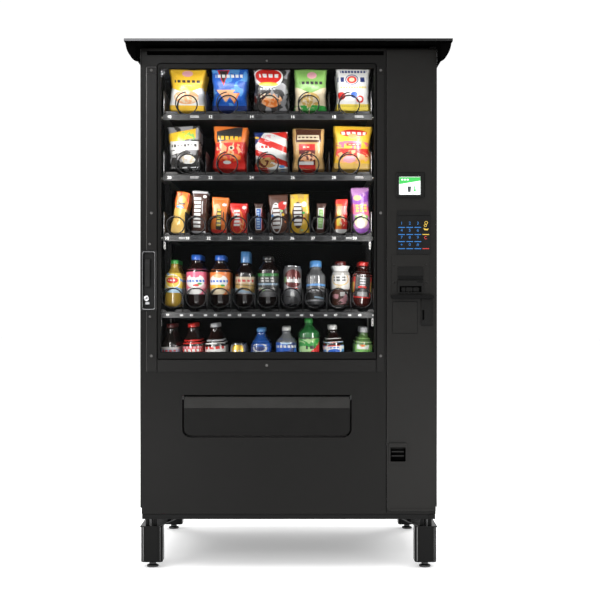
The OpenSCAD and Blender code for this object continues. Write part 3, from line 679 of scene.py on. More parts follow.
def door_skin():
    """Front sheet of the door with its real openings, and the folded edge behind it."""
    step = 4.5 * MM
    x0, x1, z0, z1 = DOOR
    foot_l, foot_r = z0 + 22 * MM, z0 + 34 * MM
    flap = rect("delivery_flap")
    gap = 6.4
    delivery = [flap[0] + 8 * MM - gap * MM, flap[1] - 8 * MM + gap * MM, flap[2] - gap * MM,
                flap[3] + gap * MM]
    header = [x0 + 23.5 * MM, SEAM - 9 * MM, z1 - 23.5 * MM, z1 - 9 * MM]
    window = grown(WINDOW, -7, -6, -6, -6)
    housing = grown(rect("handle_housing"), -4, -4, -1.5, -1)
    y = FACE + SHEET
    field = [(x0 + step, z0), (SEAM - 0.6 * MM, z0), (SEAM - 0.6 * MM, z1), (x0, z1), (x0, foot_l),
             (x0 + step, foot_l)]
    skin = Piece("door_skin", "door")
    skin.prism(field, FACE, y, [outline(delivery, (30, 30, 5, 5), 10), outline(window, 6),
                                outline(header), outline(housing)])
    hole = grown(COLUMN, -7, -7, -160, -430)
    column = [(SEAM + 0.6 * MM, z0), (x1 - step, z0), (x1 - step, foot_r), (x1, foot_r), (x1, z1),
              (SEAM + 0.6 * MM, z1)]
    skin.prism(column, FACE, y, [outline(hole)])
    skin.done("door", ["door_shell"], bevel=0.9)
    edge = Piece("door_edge_returns", "door")
    back = low("door_inner_panel", "y") - 0.3 * MM
    for x in (x0, x1 - SHEET):
        edge.box((x, y + 0.2 * MM, z0 + 24 * MM), (x + SHEET, back, z1))
    inner = 2.2 * MM
    edge.box((x0 + inner, y + 0.2 * MM, z1 - 2 * MM), (x1 - inner, back, z1))
    edge.box((x0 + step + inner, y + 0.2 * MM, z0), (x1 - step - inner, back, z0 + 2 * MM))
    for x in (x0 + step, x1 - step - SHEET):
        edge.box((x, y + 0.2 * MM, z0), (x + SHEET, back, z0 + 23.8 * MM))
    edge.done("door", bevel=0.5)
    # Matt black sheets behind the header opening and behind the column joint: painted shade
    pits = Piece("door_channel_painted_shade", "canopy")
    pits.box((header[0] - 4 * MM, FACE + 9 * MM, header[2] - 4 * MM),
             (header[1] + 4 * MM, FACE + 10 * MM, header[3] + 4 * MM))
    pits.box((SEAM - 6 * MM, y + 0.2 * MM, z0 + 3 * MM), (SEAM + 6 * MM, y + 1.2 * MM, z1 - 3 * MM))
    pits.done("door")


def column_panel():
    """Raised panel of the money column, with a chamfered lower corner and its openings."""
    x0, x1, z0, z1 = COLUMN
    cut = 10 * MM
    points = [(x0 + cut, z0), (x1, z0), (x1, z1), (x0, z1), (x0, z0 + cut)]
    cup = grown(rect("coin_return_cup"), -4, -4, -6, -14)
    bill = grown(rect("validator_bezel"), -24, -24, -8, -45)
    coin = grown(rect("coin_slot_plate"), -2.5, -3, -3, -3)
    panel = Piece("column_panel_sheet", "panel")
    panel.prism(points, TRIM, FACE - 0.3 * MM, [outline(h) for h in (cup, bill, coin)])
    panel.done("door", ["column_panel"], bevel=1.1, segments=3)
    line = Piece("column_lower_flange", "dark_rubber_and_shade", "edge_light")
    line.box((x0 + 11 * MM, TRIM - 0.12 * MM, z0 + 9.5 * MM), (x1 - 1 * MM, TRIM + 0.4 * MM, z0 + 10.6 * MM))
    # Painted highlight along the left edge of the panel, a strip of bright metal
    line.box((x0 + 0.1 * MM, TRIM + 0.6 * MM, z0 + cut), (x0 + 0.9 * MM, TRIM + 2.6 * MM, z1 - 2 * MM), 1)
    line.done("door")


def window_frame():
    """Moulded frame round the glass: outer step, flat face, bevel down to the pane, a black ring in the gap round it
    that paints shade, and the seal at the pane.
    """
    glass = rect("window_pane")
    gap = 2.6
    outer = grown(WINDOW, -gap)
    inner = [outer[0] + 8.5 * MM, outer[1] - 6 * MM, outer[2] + 22.5 * MM, outer[3] - 15.5 * MM]
    pane_y = low("window_pane", "y") - 0.3 * MM
    moulding = Piece("window_frame_moulding", "frame")
    moulding.skin([ring(r, grow, (3, 3, top, top), y, 6) for r, grow, top, y in (
        (outer, 0, 9, FACE - 0.3 * MM), (outer, 0, 9, TRIM + 1.2 * MM), (outer, -1.1, 8, TRIM),
        (inner, 1.6, 3.5, TRIM), (inner, 0.2, 2.5, TRIM + 0.9 * MM), (inner, -1.6, 2, pane_y))])
    moulding.done("door", ["window_frame"])
    dark_rubber_and_shade = Piece("window_gap_shade_and_seal", "dark_rubber_and_shade")
    # Black ring in the gap between the frame and the door skin: painted shade
    dark_rubber_and_shade.plate(grown(WINDOW, 0.4), FACE - 1.1 * MM, FACE - 0.2 * MM, (5, 5, 10, 10),
                 [outline(grown(outer, -1.5), (3, 3, 9, 9))])
    # Seal between the frame and the pane
    rim = grown(inner, -1.2)
    dark_rubber_and_shade.plate(grown(inner, 3), pane_y + 0.02 * MM, pane_y + 0.2 * MM, 2,
                 [outline(grown(rim, -1.0), 2)])
    dark_rubber_and_shade.done("door")


def window_trims():
    """Three painted trims round the window, the side ones with end caps."""
    left, right = low("window_trims", "x"), high("window_trims", "x")
    z0, z1 = low("window_trims", "z"), high("window_trims", "z")
    cap = z1 - 21.5 * MM
    hx = high("handle_housing", "x") + 0.6 * MM
    hz = (low("handle_housing", "z") - 0.8 * MM, high("handle_housing", "z") + 0.8 * MM)
    y = (TRIM, FACE - 0.3 * MM)
    wl, wr = WINDOW[0] - 0.9 * MM, WINDOW[1] + 0.9 * MM
    trims = Piece("window_trim_strips", "trim")
    trims.prism([(left, z0), (wl, z0), (wl, cap - 0.7 * MM), (left, cap - 0.7 * MM), (left, hz[1]),
                 (hx, hz[1]), (hx, hz[0]), (left, hz[0])], *y)
    trims.plate([left, wl, cap, z1], *y)
    trims.plate([wr, right, z0, cap - 0.7 * MM], *y)
    trims.plate([wr, right, cap, z1], *y)
    trims.plate([wl + 4.5 * MM, wr - 4.5 * MM, z0, WINDOW[2] - 1.2 * MM], *y)
    trims.done("door", ["window_trims"], bevel=0.9, segments=3)
    # Rolled outer lip along the left trim, with a painted highlight: bright at the top, fading to dark downwards
    lip = Piece("window_trim_lip", "trim_edge")
    lip.box((left - 2.2 * MM, FACE - 2.5 * MM, z0), (left - 0.4 * MM, FACE - 0.3 * MM, hz[0] - 1 * MM))
    lip.box((left - 2.2 * MM, FACE - 2.5 * MM, hz[1] + 1 * MM), (left - 0.4 * MM, FACE - 0.3 * MM, z1))
    lip.box((left - 0.2 * MM, FACE - 2.5 * MM, z1 + 0.3 * MM), (wl - 2 * MM, FACE - 0.3 * MM, z1 + 1.7 * MM))
    lip.done("door", bevel=0.5)


def security_screw(piece, x, y, z, r=5.0):
    """Button head with a pinned socket, in front of the face at y."""
    rings = ((1, 0), (1, 0.5), (0.86, 1.4), (0.55, 1.9), (0.42, 1.9), (0.40, 0.8), (0.14, 0.8), (0.12, 1.7))
    piece.lathe([(k * r * MM, y - drop * MM) for k, drop in rings], (x, 0, z), "y", 18, (False, True))


def tamper_screws():
    screws = Piece("security_screws", "screw")
    left, right = low("window_trims", "x") + 16 * MM, high("window_trims", "x") - 11 * MM
    z_top = high("window_trims", "z") - 10 * MM
    z_low = low("window_trims", "z") + 55 * MM
    for x in (left, right):
        for z in (z_top, (z_top + z_low) / 2, z_low):
            security_screw(screws, x, TRIM, z)
    mid = (WINDOW[0] + WINDOW[1]) / 2
    security_screw(screws, mid, TRIM, low("window_trims", "z") + 22 * MM)
    security_screw(screws, mid, FACE, WINDOW[3] + 9 * MM, 4.0)
    security_screw(screws, left - 6 * MM, TRIM, high("handle_housing", "z") + 23 * MM, 4.4)
    security_screw(screws, left - 5 * MM, TRIM, low("handle_housing", "z") - 21 * MM, 4.4)
    screws.done("door", ["tamper_screws"])


def handle():
    """Backplate, dished recess, paddle lever and lock."""
    r = rect("handle_housing")
    y = low("handle_housing", "y")
    lever = rect("handle_lever")
    recess = grown(r, -9, -8, -6, -5)
    floor_y = FACE + 13.7 * MM
    housing = Piece("handle_backplate", "handle", "edge_light", "dark_and_shade")
    housing.skin([ring(base, grow, radius, depth, 5) for base, grow, radius, depth in (
        (r, 0, 5, FACE - 0.3 * MM), (r, 0, 5, y + 1.4 * MM), (r, -1.3, 5, y),
        (recess, 1.0, 6, y), (recess, 0, 6, y + 1.0 * MM), (recess, -1.4, 6, floor_y))], True, (False, True))
    # Painted highlight round the rim of the recess
    housing.skin([ring(recess, grow, 6.5, depth, 5) for grow, depth in (
        (1.6, y - 0.05 * MM), (1.2, y - 0.5 * MM), (0.6, y - 0.05 * MM))], mat=1)
    cx = (lever[0] + lever[1]) / 2
    # Tab under the lock, and a slot drawn as a dark plate in painted shade
    housing.plate([cx - 8 * MM, cx + 6 * MM, r[2] + 22 * MM, r[2] + 31 * MM], floor_y - 8 * MM,
                  floor_y - 2 * MM, 2, mat=1)
    housing.plate([cx - 7 * MM, cx + 5 * MM, r[2] + 15 * MM, r[2] + 18 * MM], floor_y - 0.8 * MM,
                  floor_y - 0.2 * MM, 1, mat=2)
    housing.done("door", ["handle_housing"])
    guide = Piece("latch_guides", "zinc")
    bolt = BOX["latch_bolt"]
    for z in ((bolt[0][2] - 4.5 * MM, bolt[0][2] - 0.4 * MM), (bolt[1][2] + 0.4 * MM, bolt[1][2] + 4.5 * MM)):
        guide.box((bolt[0][0] + 15 * MM, bolt[0][1] - 4 * MM, z[0]),
                  (bolt[1][0] - 4 * MM, bolt[1][1] + 4 * MM, z[1]))
    guide.done("door", bevel=0.4)
    paddle = Piece("lever_paddle", "handle", "edge_light")
    x0, x1, z0, z1 = grown(lever, -4.2, -4.2, 0, -1)
    front = low("handle_lever", "y")
    # How far the paddle's face stands back from its front, by height
    sections = [(z0 + 0.2 * MM, 3.0), (z0 + 1.2 * MM, 1.1), (z0 + 4 * MM, 0.2), (z1 - 16 * MM, 0.9),
                (z1 - 13 * MM, 1.5), (z1 - 1.5 * MM, 1.9), (z1, 3.4)]
    loops = []
    back = front + 6 * MM
    for z, sink in sections:
        f = front + sink * MM
        loops.append([(x0, back, z), (x0, f + 1.2 * MM, z), (x0 + 1.2 * MM, f, z), (x1 - 1.2 * MM, f, z),
                      (x1, f + 1.2 * MM, z), (x1, back, z)])
    paddle.skin(loops, True, (True, True))
    paddle.box((x0 + 1 * MM, front + 1.0 * MM, z1 - 12 * MM), (x1 - 1 * MM, front + 1.5 * MM, z1 - 3 * MM))
    axis_y, axis_z = FACE + 4 * MM, high("handle_lever", "z") - 4 * MM
    paddle.lathe([(2 * MM, lever[0] + 0.2 * MM), (2 * MM, lever[1] - 0.2 * MM)], (0, axis_y, axis_z), "x", 16)
    paddle.done("lever", ["handle_lever"])
    lock = Piece("lock_barrel", "chrome", "dark_and_shade")
    lo, hi = BOX["lock_cylinder"]
    cx, cz, r0 = (lo[0] + hi[0]) / 2, (lo[2] + hi[2]) / 2, (hi[0] - lo[0]) / 2
    lock.lathe([(r0, hi[1]), (r0, lo[1] + 1.5 * MM), (r0 * 0.93, lo[1] + 0.3 * MM), (r0 * 0.78, lo[1]),
                (r0 * 0.74, lo[1] + 0.5 * MM), (r0 * 0.55, lo[1] + 0.6 * MM), (r0 * 0.5, lo[1] + 0.1 * MM)],
               (cx, 0, cz), "y", 40)
    # Keyway drawn as a dark plate: painted shade
    lock.plate([cx - 0.9 * MM, cx + 0.9 * MM, cz - 3.4 * MM, cz + 3.4 * MM], lo[1] - 0.05 * MM,
               lo[1] + 0.6 * MM, 0.8, mat=1)
    lock.done("lock", ["lock_cylinder"])


def delivery():
    """Push-in flap with rounded lower corners and an upper band that leans back."""
    lo, hi = BOX["delivery_flap"]
    x0, x1 = lo[0] + 8 * MM, hi[0] - 8 * MM
    front, back = lo[1] + 0.1 * MM, hi[1]
    z0, z1 = lo[2], hi[2]
    fold = z1 - 40 * MM
    flap = Piece("flap_panel", "flap", "flap_band")
    flap.prism(outline([x0, x1, z0, fold], (24, 24, 0, 0), 10), front, back - 2 * MM)
    # The upper band leans back; its lighter colour is a painted highlight
    flap.skin([[(x, front, fold + 0.3 * MM), (x, front + 3.4 * MM, z1 - 1 * MM), (x, back, z1 - 1 * MM),
                (x, back, fold + 0.3 * MM)] for x in (x0, x1)], True, (True, True), mat=1)
    axis_y, axis_z = FACE + 8 * MM, z1 - 4 * MM
    for a, b in ((lo[0], x0 + 2 * MM), (x1 - 2 * MM, hi[0])):
        flap.lathe([(3 * MM, a), (3 * MM, b)], (0, axis_y, axis_z), "x", 20)
    flap.done("delivery_door", ["delivery_flap"], bevel=0.8, segments=3)


def display():
    """Recessed screen in a deep bezel, with a plain cup-and-arrow graphic."""
    r = rect("screen_bezel")
    y = low("screen_bezel", "y")
    s = grown(rect("screen_panel"), 0.2)
    bezel = Piece("screen_surround", "bezel", "dark_and_shade")
    bezel.skin([ring(base, grow, radius, depth, 4) for base, grow, radius, depth in (
        (r, 0, 2, TRIM - 0.1 * MM), (r, 0, 2, y + 1.5 * MM), (r, -1.2, 2, y),
        (s, 4.0, 2, y), (s, 3.2, 2, y + 0.7 * MM), (s, 0.0, 1, TRIM - 2.2 * MM))])
    # Painted shadow at the top and the right of the surround
    for x, lower, upper in ((r[0] + 0.5 * MM, r[3], r[3] + 1.7 * MM), (r[1], r[2] + 2 * MM, r[3])):
        bezel.box((x, TRIM - 1.3 * MM, lower), (r[1] + 1.6 * MM, TRIM - 0.1 * MM, upper), 1)
    bezel.done("door", ["screen_bezel"])
    x0, x1, z0, z1 = rect("screen_panel")
    w, h = x1 - x0, z1 - z0
    at = low("screen_panel", "y")
    screen = Piece("screen_face", "screen_white", "screen_green", "screen_dark")
    screen.plate([x0, x1, z0, z1], at + 0.4 * MM, TRIM - 0.2 * MM)
    left, right = x0 + 0.4 * MM, x1 - 0.4 * MM
    screen.prism([(left, z1 - 0.42 * h), (right, z1 - 0.22 * h), (right, z1 - 0.02 * h), (left, z1 - 0.02 * h)],
                 at + 0.2 * MM, at + 0.4 * MM, (), 1)
    for k in range(3):
        screen.plate([x0 + (0.10 + 0.13 * k) * w, x0 + (0.19 + 0.13 * k) * w, z1 - 0.20 * h, z1 - 0.12 * h],
                     at + 0.1 * MM, at + 0.2 * MM, 1)
    cx, cz = x0 + 0.48 * w, z0 + 0.30 * h
    cup = [(-0.09, 0.16), (-0.06, -0.16), (0.06, -0.16), (0.09, 0.16)]
    screen.prism([(cx + a * w, cz + b * h) for a, b in cup][::-1], at + 0.1 * MM, at + 0.4 * MM, (), 2)
    ax = x0 + 0.74 * w
    arrow = [(-0.03, 0.18), (-0.03, -0.02), (-0.08, -0.02), (0, -0.16), (0.08, -0.02), (0.03, -0.02),
             (0.03, 0.18)]
    screen.prism([(ax + a * w, cz + b * h) for a, b in arrow], at + 0.1 * MM, at + 0.4 * MM, (), 1)
    screen.done("door", ["screen_panel"])


def keypad():
    """Sealed membrane with a groove, twelve printed keys and two printed symbols."""
    x0, x1, z0, z1 = rect("keypad_plate")
    y = low("keypad_plate", "y")
    pad = Piece("keypad_membrane", "keypad", "dark_rubber_and_shade")
    pad.plate([x0, x1, z0, z1], y + 0.2 * MM, TRIM - 0.1 * MM, 3)
    # Groove drawn as a dark band: painted shade
    pad.box((x0 + 1.5 * MM, y + 0.05 * MM, z1 - 18.4 * MM), (x1 - 1.5 * MM, y + 0.3 * MM, z1 - 16.6 * MM), 1)
    columns = [x0 + (16 + 28.3 * k) * MM for k in range(3)]
    last = x0 + 100.6 * MM
    rows = [z1 - (44.5 + 24.8 * k) * MM for k in range(4)]
    # Dark lines between the key columns: painted shade
    for k in range(4):
        x = x0 + (2.4 + 28.1 * k) * MM
        pad.box((x, y + 0.1 * MM, z0 + 14 * MM), (x + 0.5 * MM, y + 0.3 * MM, z1 - 36 * MM), 1)
    pad.done("door", ["keypad_plate"], bevel=0.6)
    ink = Piece("keypad_print", "blue_ink_painted_glow", "yellow_ink_painted_glow", "red_ink_painted_glow")
    keys = ["1", "2", "3", "4", "5", "6", "7", "8", "9", "", "0", "#"]
    for i, key in enumerate(keys):
        x, z = columns[i % 3], rows[i // 3]
        if key:
            ink.text(key, 14.5 * MM, x, y + 0.1 * MM, z)
        else:
            for a in (0, 60, 120):
                d = Vector((math.cos(math.radians(a)), 0, math.sin(math.radians(a)))) * 3.2 * MM
                at = Vector((x, y + 0.1 * MM, z))
                ink.tube([at - d, at + d], 0.7 * MM, 6)
        ink.box((x - 11.5 * MM, y, z - 15.6 * MM), (x + 11.5 * MM, y + 0.2 * MM, z - 12.9 * MM))
    for level, mat in ((1, 1), (3, 2)):
        z = rows[level] - 14.2 * MM
        ink.box((last - 11.5 * MM, y, z - 1.4 * MM), (last + 11.5 * MM, y + 0.2 * MM, z + 1.4 * MM), mat)

    def arc(x, z, r, start, sweep, thick, mat):
        """Printed arc in degrees from a start angle."""
        angles = [math.radians(start + sweep * k / 20) for k in range(21)]
        ink.tube([(x + r * MM * math.cos(a), y + 0.1 * MM, z + r * MM * math.sin(a)) for a in angles],
                 thick * MM, 6, mat=mat)

    # Coins over an open tray, and an open ring for clearing
    arc(last + 1.5 * MM, rows[0] + 2 * MM, 5.0, 0, 360, 1.0, 1)
    arc(last - 1.5 * MM, rows[0] - 7.5 * MM, 4.0, 0, 360, 1.0, 1)
    arc(last, rows[2] - 0.4 * MM, 4.6, 50, 260, 1.1, 2)
    hand = ((-9, 5), (-5, -3.5), (6, -4.5), (10, 2), (2, 0.5), (-4, 1.5))
    ink.prism([(last + a * MM, rows[0] + (b - 20) * MM) for a, b in hand], y + 0.05 * MM, y + 0.2 * MM, (), 1)
    ink.done("door")


def money_column():
    """Banknote validator, ledge, blank plate and coin slot."""
    r = rect("validator_bezel")
    plate_y = TRIM - 3 * MM
    bezel = [r[0] + 21 * MM, r[1] - 22 * MM, r[2] + 6.8 * MM, r[3] - 41 * MM]
    mouth = [bezel[0] + 6 * MM, bezel[1] - 6 * MM, bezel[2] + 3 * MM, bezel[2] + 25 * MM]
    front = low("validator_bezel", "y")
    plate = Piece("validator_plate", "panel", "screw", "dark_rubber_and_shade")
    plate.plate(r, plate_y, TRIM - 0.1 * MM, 2, [outline(grown(mouth, 1))])
    for x in (r[0] + 7.5 * MM, r[1] - 9 * MM):
        for z in (r[3] - 36 * MM, r[3] - 96 * MM):
            security_screw(plate, x, plate_y, z, 4.6)
    plate.done("door", ["validator_bezel"], bevel=0.5)
    body = Piece("validator_snout", "bezel", "dark_and_shade", "edge_light")
    # Profile from the top down: (z, y)
    steps = [(bezel[3] - drop * MM, plate_y - proud * MM)
             for drop, proud in ((0, 0), (2, 3), (32, 4.5), (34, 3), (46, 3))]
    steps += [(bezel[3] - 49 * MM, front + 2 * MM), (mouth[3] + 5 * MM, front + 1 * MM),
              (mouth[3], front + 0.5 * MM)]
    body.skin([[(bezel[0], plate_y, z), (bezel[0], y + 0.8 * MM, z), (bezel[0] + 0.8 * MM, y, z),
                (bezel[1] - 0.8 * MM, y, z), (bezel[1], y + 0.8 * MM, z), (bezel[1], plate_y, z)]
               for z, y in steps], False)
    # Dark band in the recess under the step: painted shade
    body.box((bezel[0] + 1 * MM, plate_y - 3.4 * MM, bezel[3] - 45.5 * MM),
             (bezel[1] - 1 * MM, plate_y - 3 * MM, bezel[3] - 34.6 * MM), 1)
    body.box((bezel[1] - 22 * MM, front + 0.6 * MM, bezel[3] - 56 * MM),
             (bezel[1] - 2 * MM, front + 1.4 * MM, bezel[3] - 50 * MM), 1)
    for x0, x1, z0, z1 in ((bezel[0], mouth[0], bezel[2], mouth[3]), (mouth[1], bezel[1], bezel[2], mouth[3]),
                           (mouth[0] - 0.1 * MM, mouth[1] + 0.1 * MM, bezel[2], mouth[2])):
        body.plate([x0, x1, z0, z1], front + 0.5 * MM, plate_y, 0.6)
    # Throat of the mouth: walls and back in painted shade, and a paler three-part roller face
    body.box((mouth[0], FACE + 3 * MM, mouth[2]), (mouth[1], FACE + 3.6 * MM, mouth[3]), 1)
    for z in (mouth[2], mouth[3] - 0.3 * MM):
        body.box((mouth[0], front + 3 * MM, z), (mouth[1], FACE + 3 * MM, z + 0.3 * MM), 1)
    for x in (mouth[0], mouth[1] - 0.3 * MM):
        body.box((x, front + 3 * MM, mouth[2] + 0.4 * MM), (x + 0.3 * MM, FACE + 3 * MM, mouth[3] - 0.4 * MM), 1)
    w = mouth[1] - mouth[0]
    for a, b in ((0.10, 0.28), (0.31, 0.60), (0.63, 0.90)):
        body.plate([mouth[0] + a * w, mouth[0] + b * w, mouth[2] + 2.5 * MM, mouth[3] - 5 * MM],
                   TRIM - 2 * MM, FACE + 2.9 * MM, (2, 2, 3, 3))
    body.done("door", bevel=0.5)
    ledge = Piece("ledge_bar", "dark_and_shade")
    x0, x1, z0, z1 = rect("rain_ledge")
    y = low("rain_ledge", "y")
    ledge.plate([x0, x1, z0 + 1.5 * MM, z1], y, TRIM - 0.1 * MM, (6, 6, 5, 5))
    ledge.plate([x0 + 6 * MM, x1 - 6 * MM, z0, z0 + 2 * MM], y + 5 * MM, TRIM - 0.1 * MM, (1, 1, 0, 0))
    ledge.done("door", ["rain_ledge"], bevel=1.6, segments=3)
    blank = Piece("reader_blank_plate", "panel", "dark_and_shade")
    r = rect("card_reader_blank")
    # Dark rim round the blank: painted shade
    blank.plate(r, TRIM - 0.7 * MM, TRIM - 0.1 * MM, 4, mat=1)
    blank.plate(grown(r, -1.7), low("card_reader_blank", "y") + 0.6 * MM, TRIM - 0.6 * MM, 3)
    blank.done("door", ["card_reader_blank"], bevel=0.6)
    r = rect("coin_slot_plate")
    y = low("coin_slot_plate", "y")
    slot = [r[0] + 3.5 * MM, r[0] + 10.5 * MM, r[2] + 18 * MM, r[2] + 53 * MM]
    coin = Piece("coin_entry_plate", "bezel", "dark_and_shade")
    coin.plate(r, y, TRIM - 0.1 * MM, (4, 4, 2, 2), [outline(slot, 1)])
    # Dark plate behind the slot: painted shade
    coin.box((slot[0], FACE, slot[2]), (slot[1], FACE + 1 * MM, slot[3]), 1)
    # Painted shadow at the right and below
    for x, top in ((r[1] - 0.2 * MM, r[3] - 8 * MM), (r[0] + 1 * MM, r[2] + 0.1 * MM)):
        coin.box((x, TRIM - 1.0 * MM, r[2] - 1.5 * MM), (r[1] + 1.4 * MM, TRIM - 0.1 * MM, top), 1)
    coin.done("door", ["coin_slot_plate"], bevel=0.7, segments=3)


def coin_return():
    """Hooded cup with a small flap across its mouth."""
    x0, x1, z0, z1 = rect("coin_return_cup")
    y = low("coin_return_cup", "y")
    cup = [x0 + 5 * MM, x1 - 5 * MM, z0 + 9 * MM, z1 - 16 * MM]
    hood = Piece("coin_return_hood", "panel", "dark_and_shade")
    hood.plate([x0, x1, z1 - 13.5 * MM, z1], y, TRIM - 0.1 * MM, (2, 2, 5, 5))
    hood.plate([x0, x1, z0, z1 - 14 * MM], y + 5 * MM, TRIM - 0.1 * MM, (4, 4, 0, 0),
               [outline(cup, (3, 3, 0, 0))])
    hood.done("door", ["coin_return_cup"], bevel=0.9, segments=3)
    well = Piece("coin_return_well", "canopy")
    depth = y + 60 * MM
    well.skin([ring(cup, grow, (3, 3, 1, 1), d, 4) for grow, d in (
        (0.6, TRIM - 0.2 * MM), (0.6, TRIM + 12 * MM), (0.0, depth - 8 * MM), (-4, depth - 3 * MM))], True,
              (False, True))
    well.done("door")
    lo, hi = BOX["coin_return_flap"]
    flap = Piece("coin_flap_plate", "panel", "canopy")
    fx0, fx1 = lo[0] + 3.2 * MM, hi[0] - 3.2 * MM
    flap.plate([fx0, fx1, lo[2] + 0.5 * MM, hi[2] - 0.5 * MM], lo[1] + 1.4 * MM, hi[1], (2, 2, 0, 0), mat=1)
    for z in (lo[2] + 13 * MM, lo[2] + 28 * MM):
        flap.plate([fx0 + 1 * MM, fx1 - 1 * MM, z, z + 4.5 * MM], lo[1] + 0.2 * MM, lo[1] + 1.6 * MM,
                   1)
    flap.lathe([(1.5 * MM, lo[0]), (1.5 * MM, hi[0])], (0, (lo[1] + hi[1]) / 2, hi[2] - 3 * MM), "x", 12)
    flap.done("coin_door", ["coin_return_flap"], bevel=0.5)


# ---------------------------------------------------------------- trays and coils

ROW_COUNTS = (5, 5, 10, 9, 9)                        # columns of each tray, from the top
LEADS = tuple(d * MM for d in (70, 70, 56, 80, 80))  # way forward in a turn of its coils
WIRE = 2.3 * MM                                      # radius of the coils' wire
CAD_WIRE = 2.5 * MM                                  # radius of the wire in the CAD
MOTOR_BAR = 36 * MM                                  # depth of the motor bar behind a tray


class Row:
    """Places of one tray and its coils, read from the CAD nodes."""

    def __init__(self, i):
        self.i = i
        self.n = ROW_COUNTS[i]
        self.lead = LEADS[i]
        lo, hi = BOX[f"spirals_{i + 1}"]
        self.coil_z = (lo[2] + hi[2]) / 2
        self.coil_r = (hi[2] - lo[2]) / 2 - CAD_WIRE
        self.coil_y = lo[1] + CAD_WIRE
        first, last = lo[0] + self.coil_r + CAD_WIRE, hi[0] - self.coil_r - CAD_WIRE
        self.pitch = (last - first) / (self.n - 1)
        self.centres = [first + k * self.pitch for k in range(self.n)]
        self.lo, self.hi = BOX[f"tray_{i + 1}"]
        self.rail = self.lo[2] + 20 * MM          # top edge of the price rail
        self.floor = self.rail - 4 * MM

    def places(self):
        """Depths of the goods of a fixed column: each stands between two turns of the coil."""
        return [self.coil_y + (1.5 + depth) * self.lead for depth in range(PACKED)]


def coil(piece, row, x):
    """Round wire with its front end at the top, and the carrier behind it."""
    steps = 24
    r = row.coil_r
    points = []
    for k in range(int(COIL_LENGTH / row.lead * steps) + 1):
        a = 2 * math.pi * (k / steps - 0.5)
        points.append(Vector((x + r * math.sin(a), row.coil_y + row.lead * k / steps,
                              row.coil_z - r * math.cos(a))))
    piece.tube(points, WIRE, 6)
    end = points[-1][1] + 3 * MM
    piece.box((x - 3 * MM, end, row.coil_z), (x + 3 * MM, end + 3 * MM, row.coil_z + r + 2 * MM))
    piece.lathe([(10 * MM, end), (10 * MM, end + 7 * MM)], (x, 0, row.coil_z), "y", 20)
    piece.lathe([(4 * MM, end + 7 * MM), (4 * MM, row.hi[1] - 26 * MM)], (x, 0, row.coil_z), "y", 16)


def rail_prints(marks, row, y):
    """White numerals, label holders and slots on the price rail."""
    z = row.rail - 10 * MM
    wide = row.n == 5
    for k, x in enumerate(row.centres):
        number = str(10 * (row.i + 1) + (2 * k if wide else k))
        at = x - (58 if wide else 27 if row.n == 10 else 12) * MM
        marks.text(number, (12 if row.n == 9 else 15) * MM, at, y - 0.1 * MM, z)
        if row.n == 9:
            for start, w, mat in ((-19, 9, 1), (10, 15, 1), (29, 13, 1), (45, 12, 3)):
                s = at + start * MM
                marks.plate([s, s + w * MM, z - 3.2 * MM, z + 3.2 * MM], y - 0.2 * MM, y, 3,
                            mat=mat)
            continue
        h0 = at + 12.5 * MM
        marks.plate([h0, h0 + 26 * MM, z - 6.5 * MM, z + 6.5 * MM], y - 0.15 * MM, y, 5, mat=1)
        for lower, upper, radius in ((2.6, 4.6, 1), (-4.6, -3.4, 0.5)):
            marks.plate([h0 + 1.5 * MM, h0 + 24.5 * MM, z + lower * MM, z + upper * MM],
                        y - 0.4 * MM, y - 0.15 * MM, radius, mat=2)
        if wide and k % 4:
            marks.plate([x + 32 * MM, x + 56 * MM, z - 4 * MM, z + 4 * MM], y - 0.15 * MM, y, 4, mat=1)
        if (wide and k in (0, 4)) or (row.n == 10 and k in (0, 8)):
            m0 = x + (18 if wide else 17) * MM
            rng = random.Random(row.i * 10 + k)
            for level in (3.2, -1.2):
                q = m0
                while q < m0 + (30 if wide else 22) * MM:
                    w = rng.uniform(2.2, 6.0) * MM
                    marks.box((q, y - 0.2 * MM, z + level * MM - 1.1 * MM),
                              (q + w, y - 0.05 * MM, z + level * MM + 1.1 * MM), 3)
                    q += w + 1.0 * MM


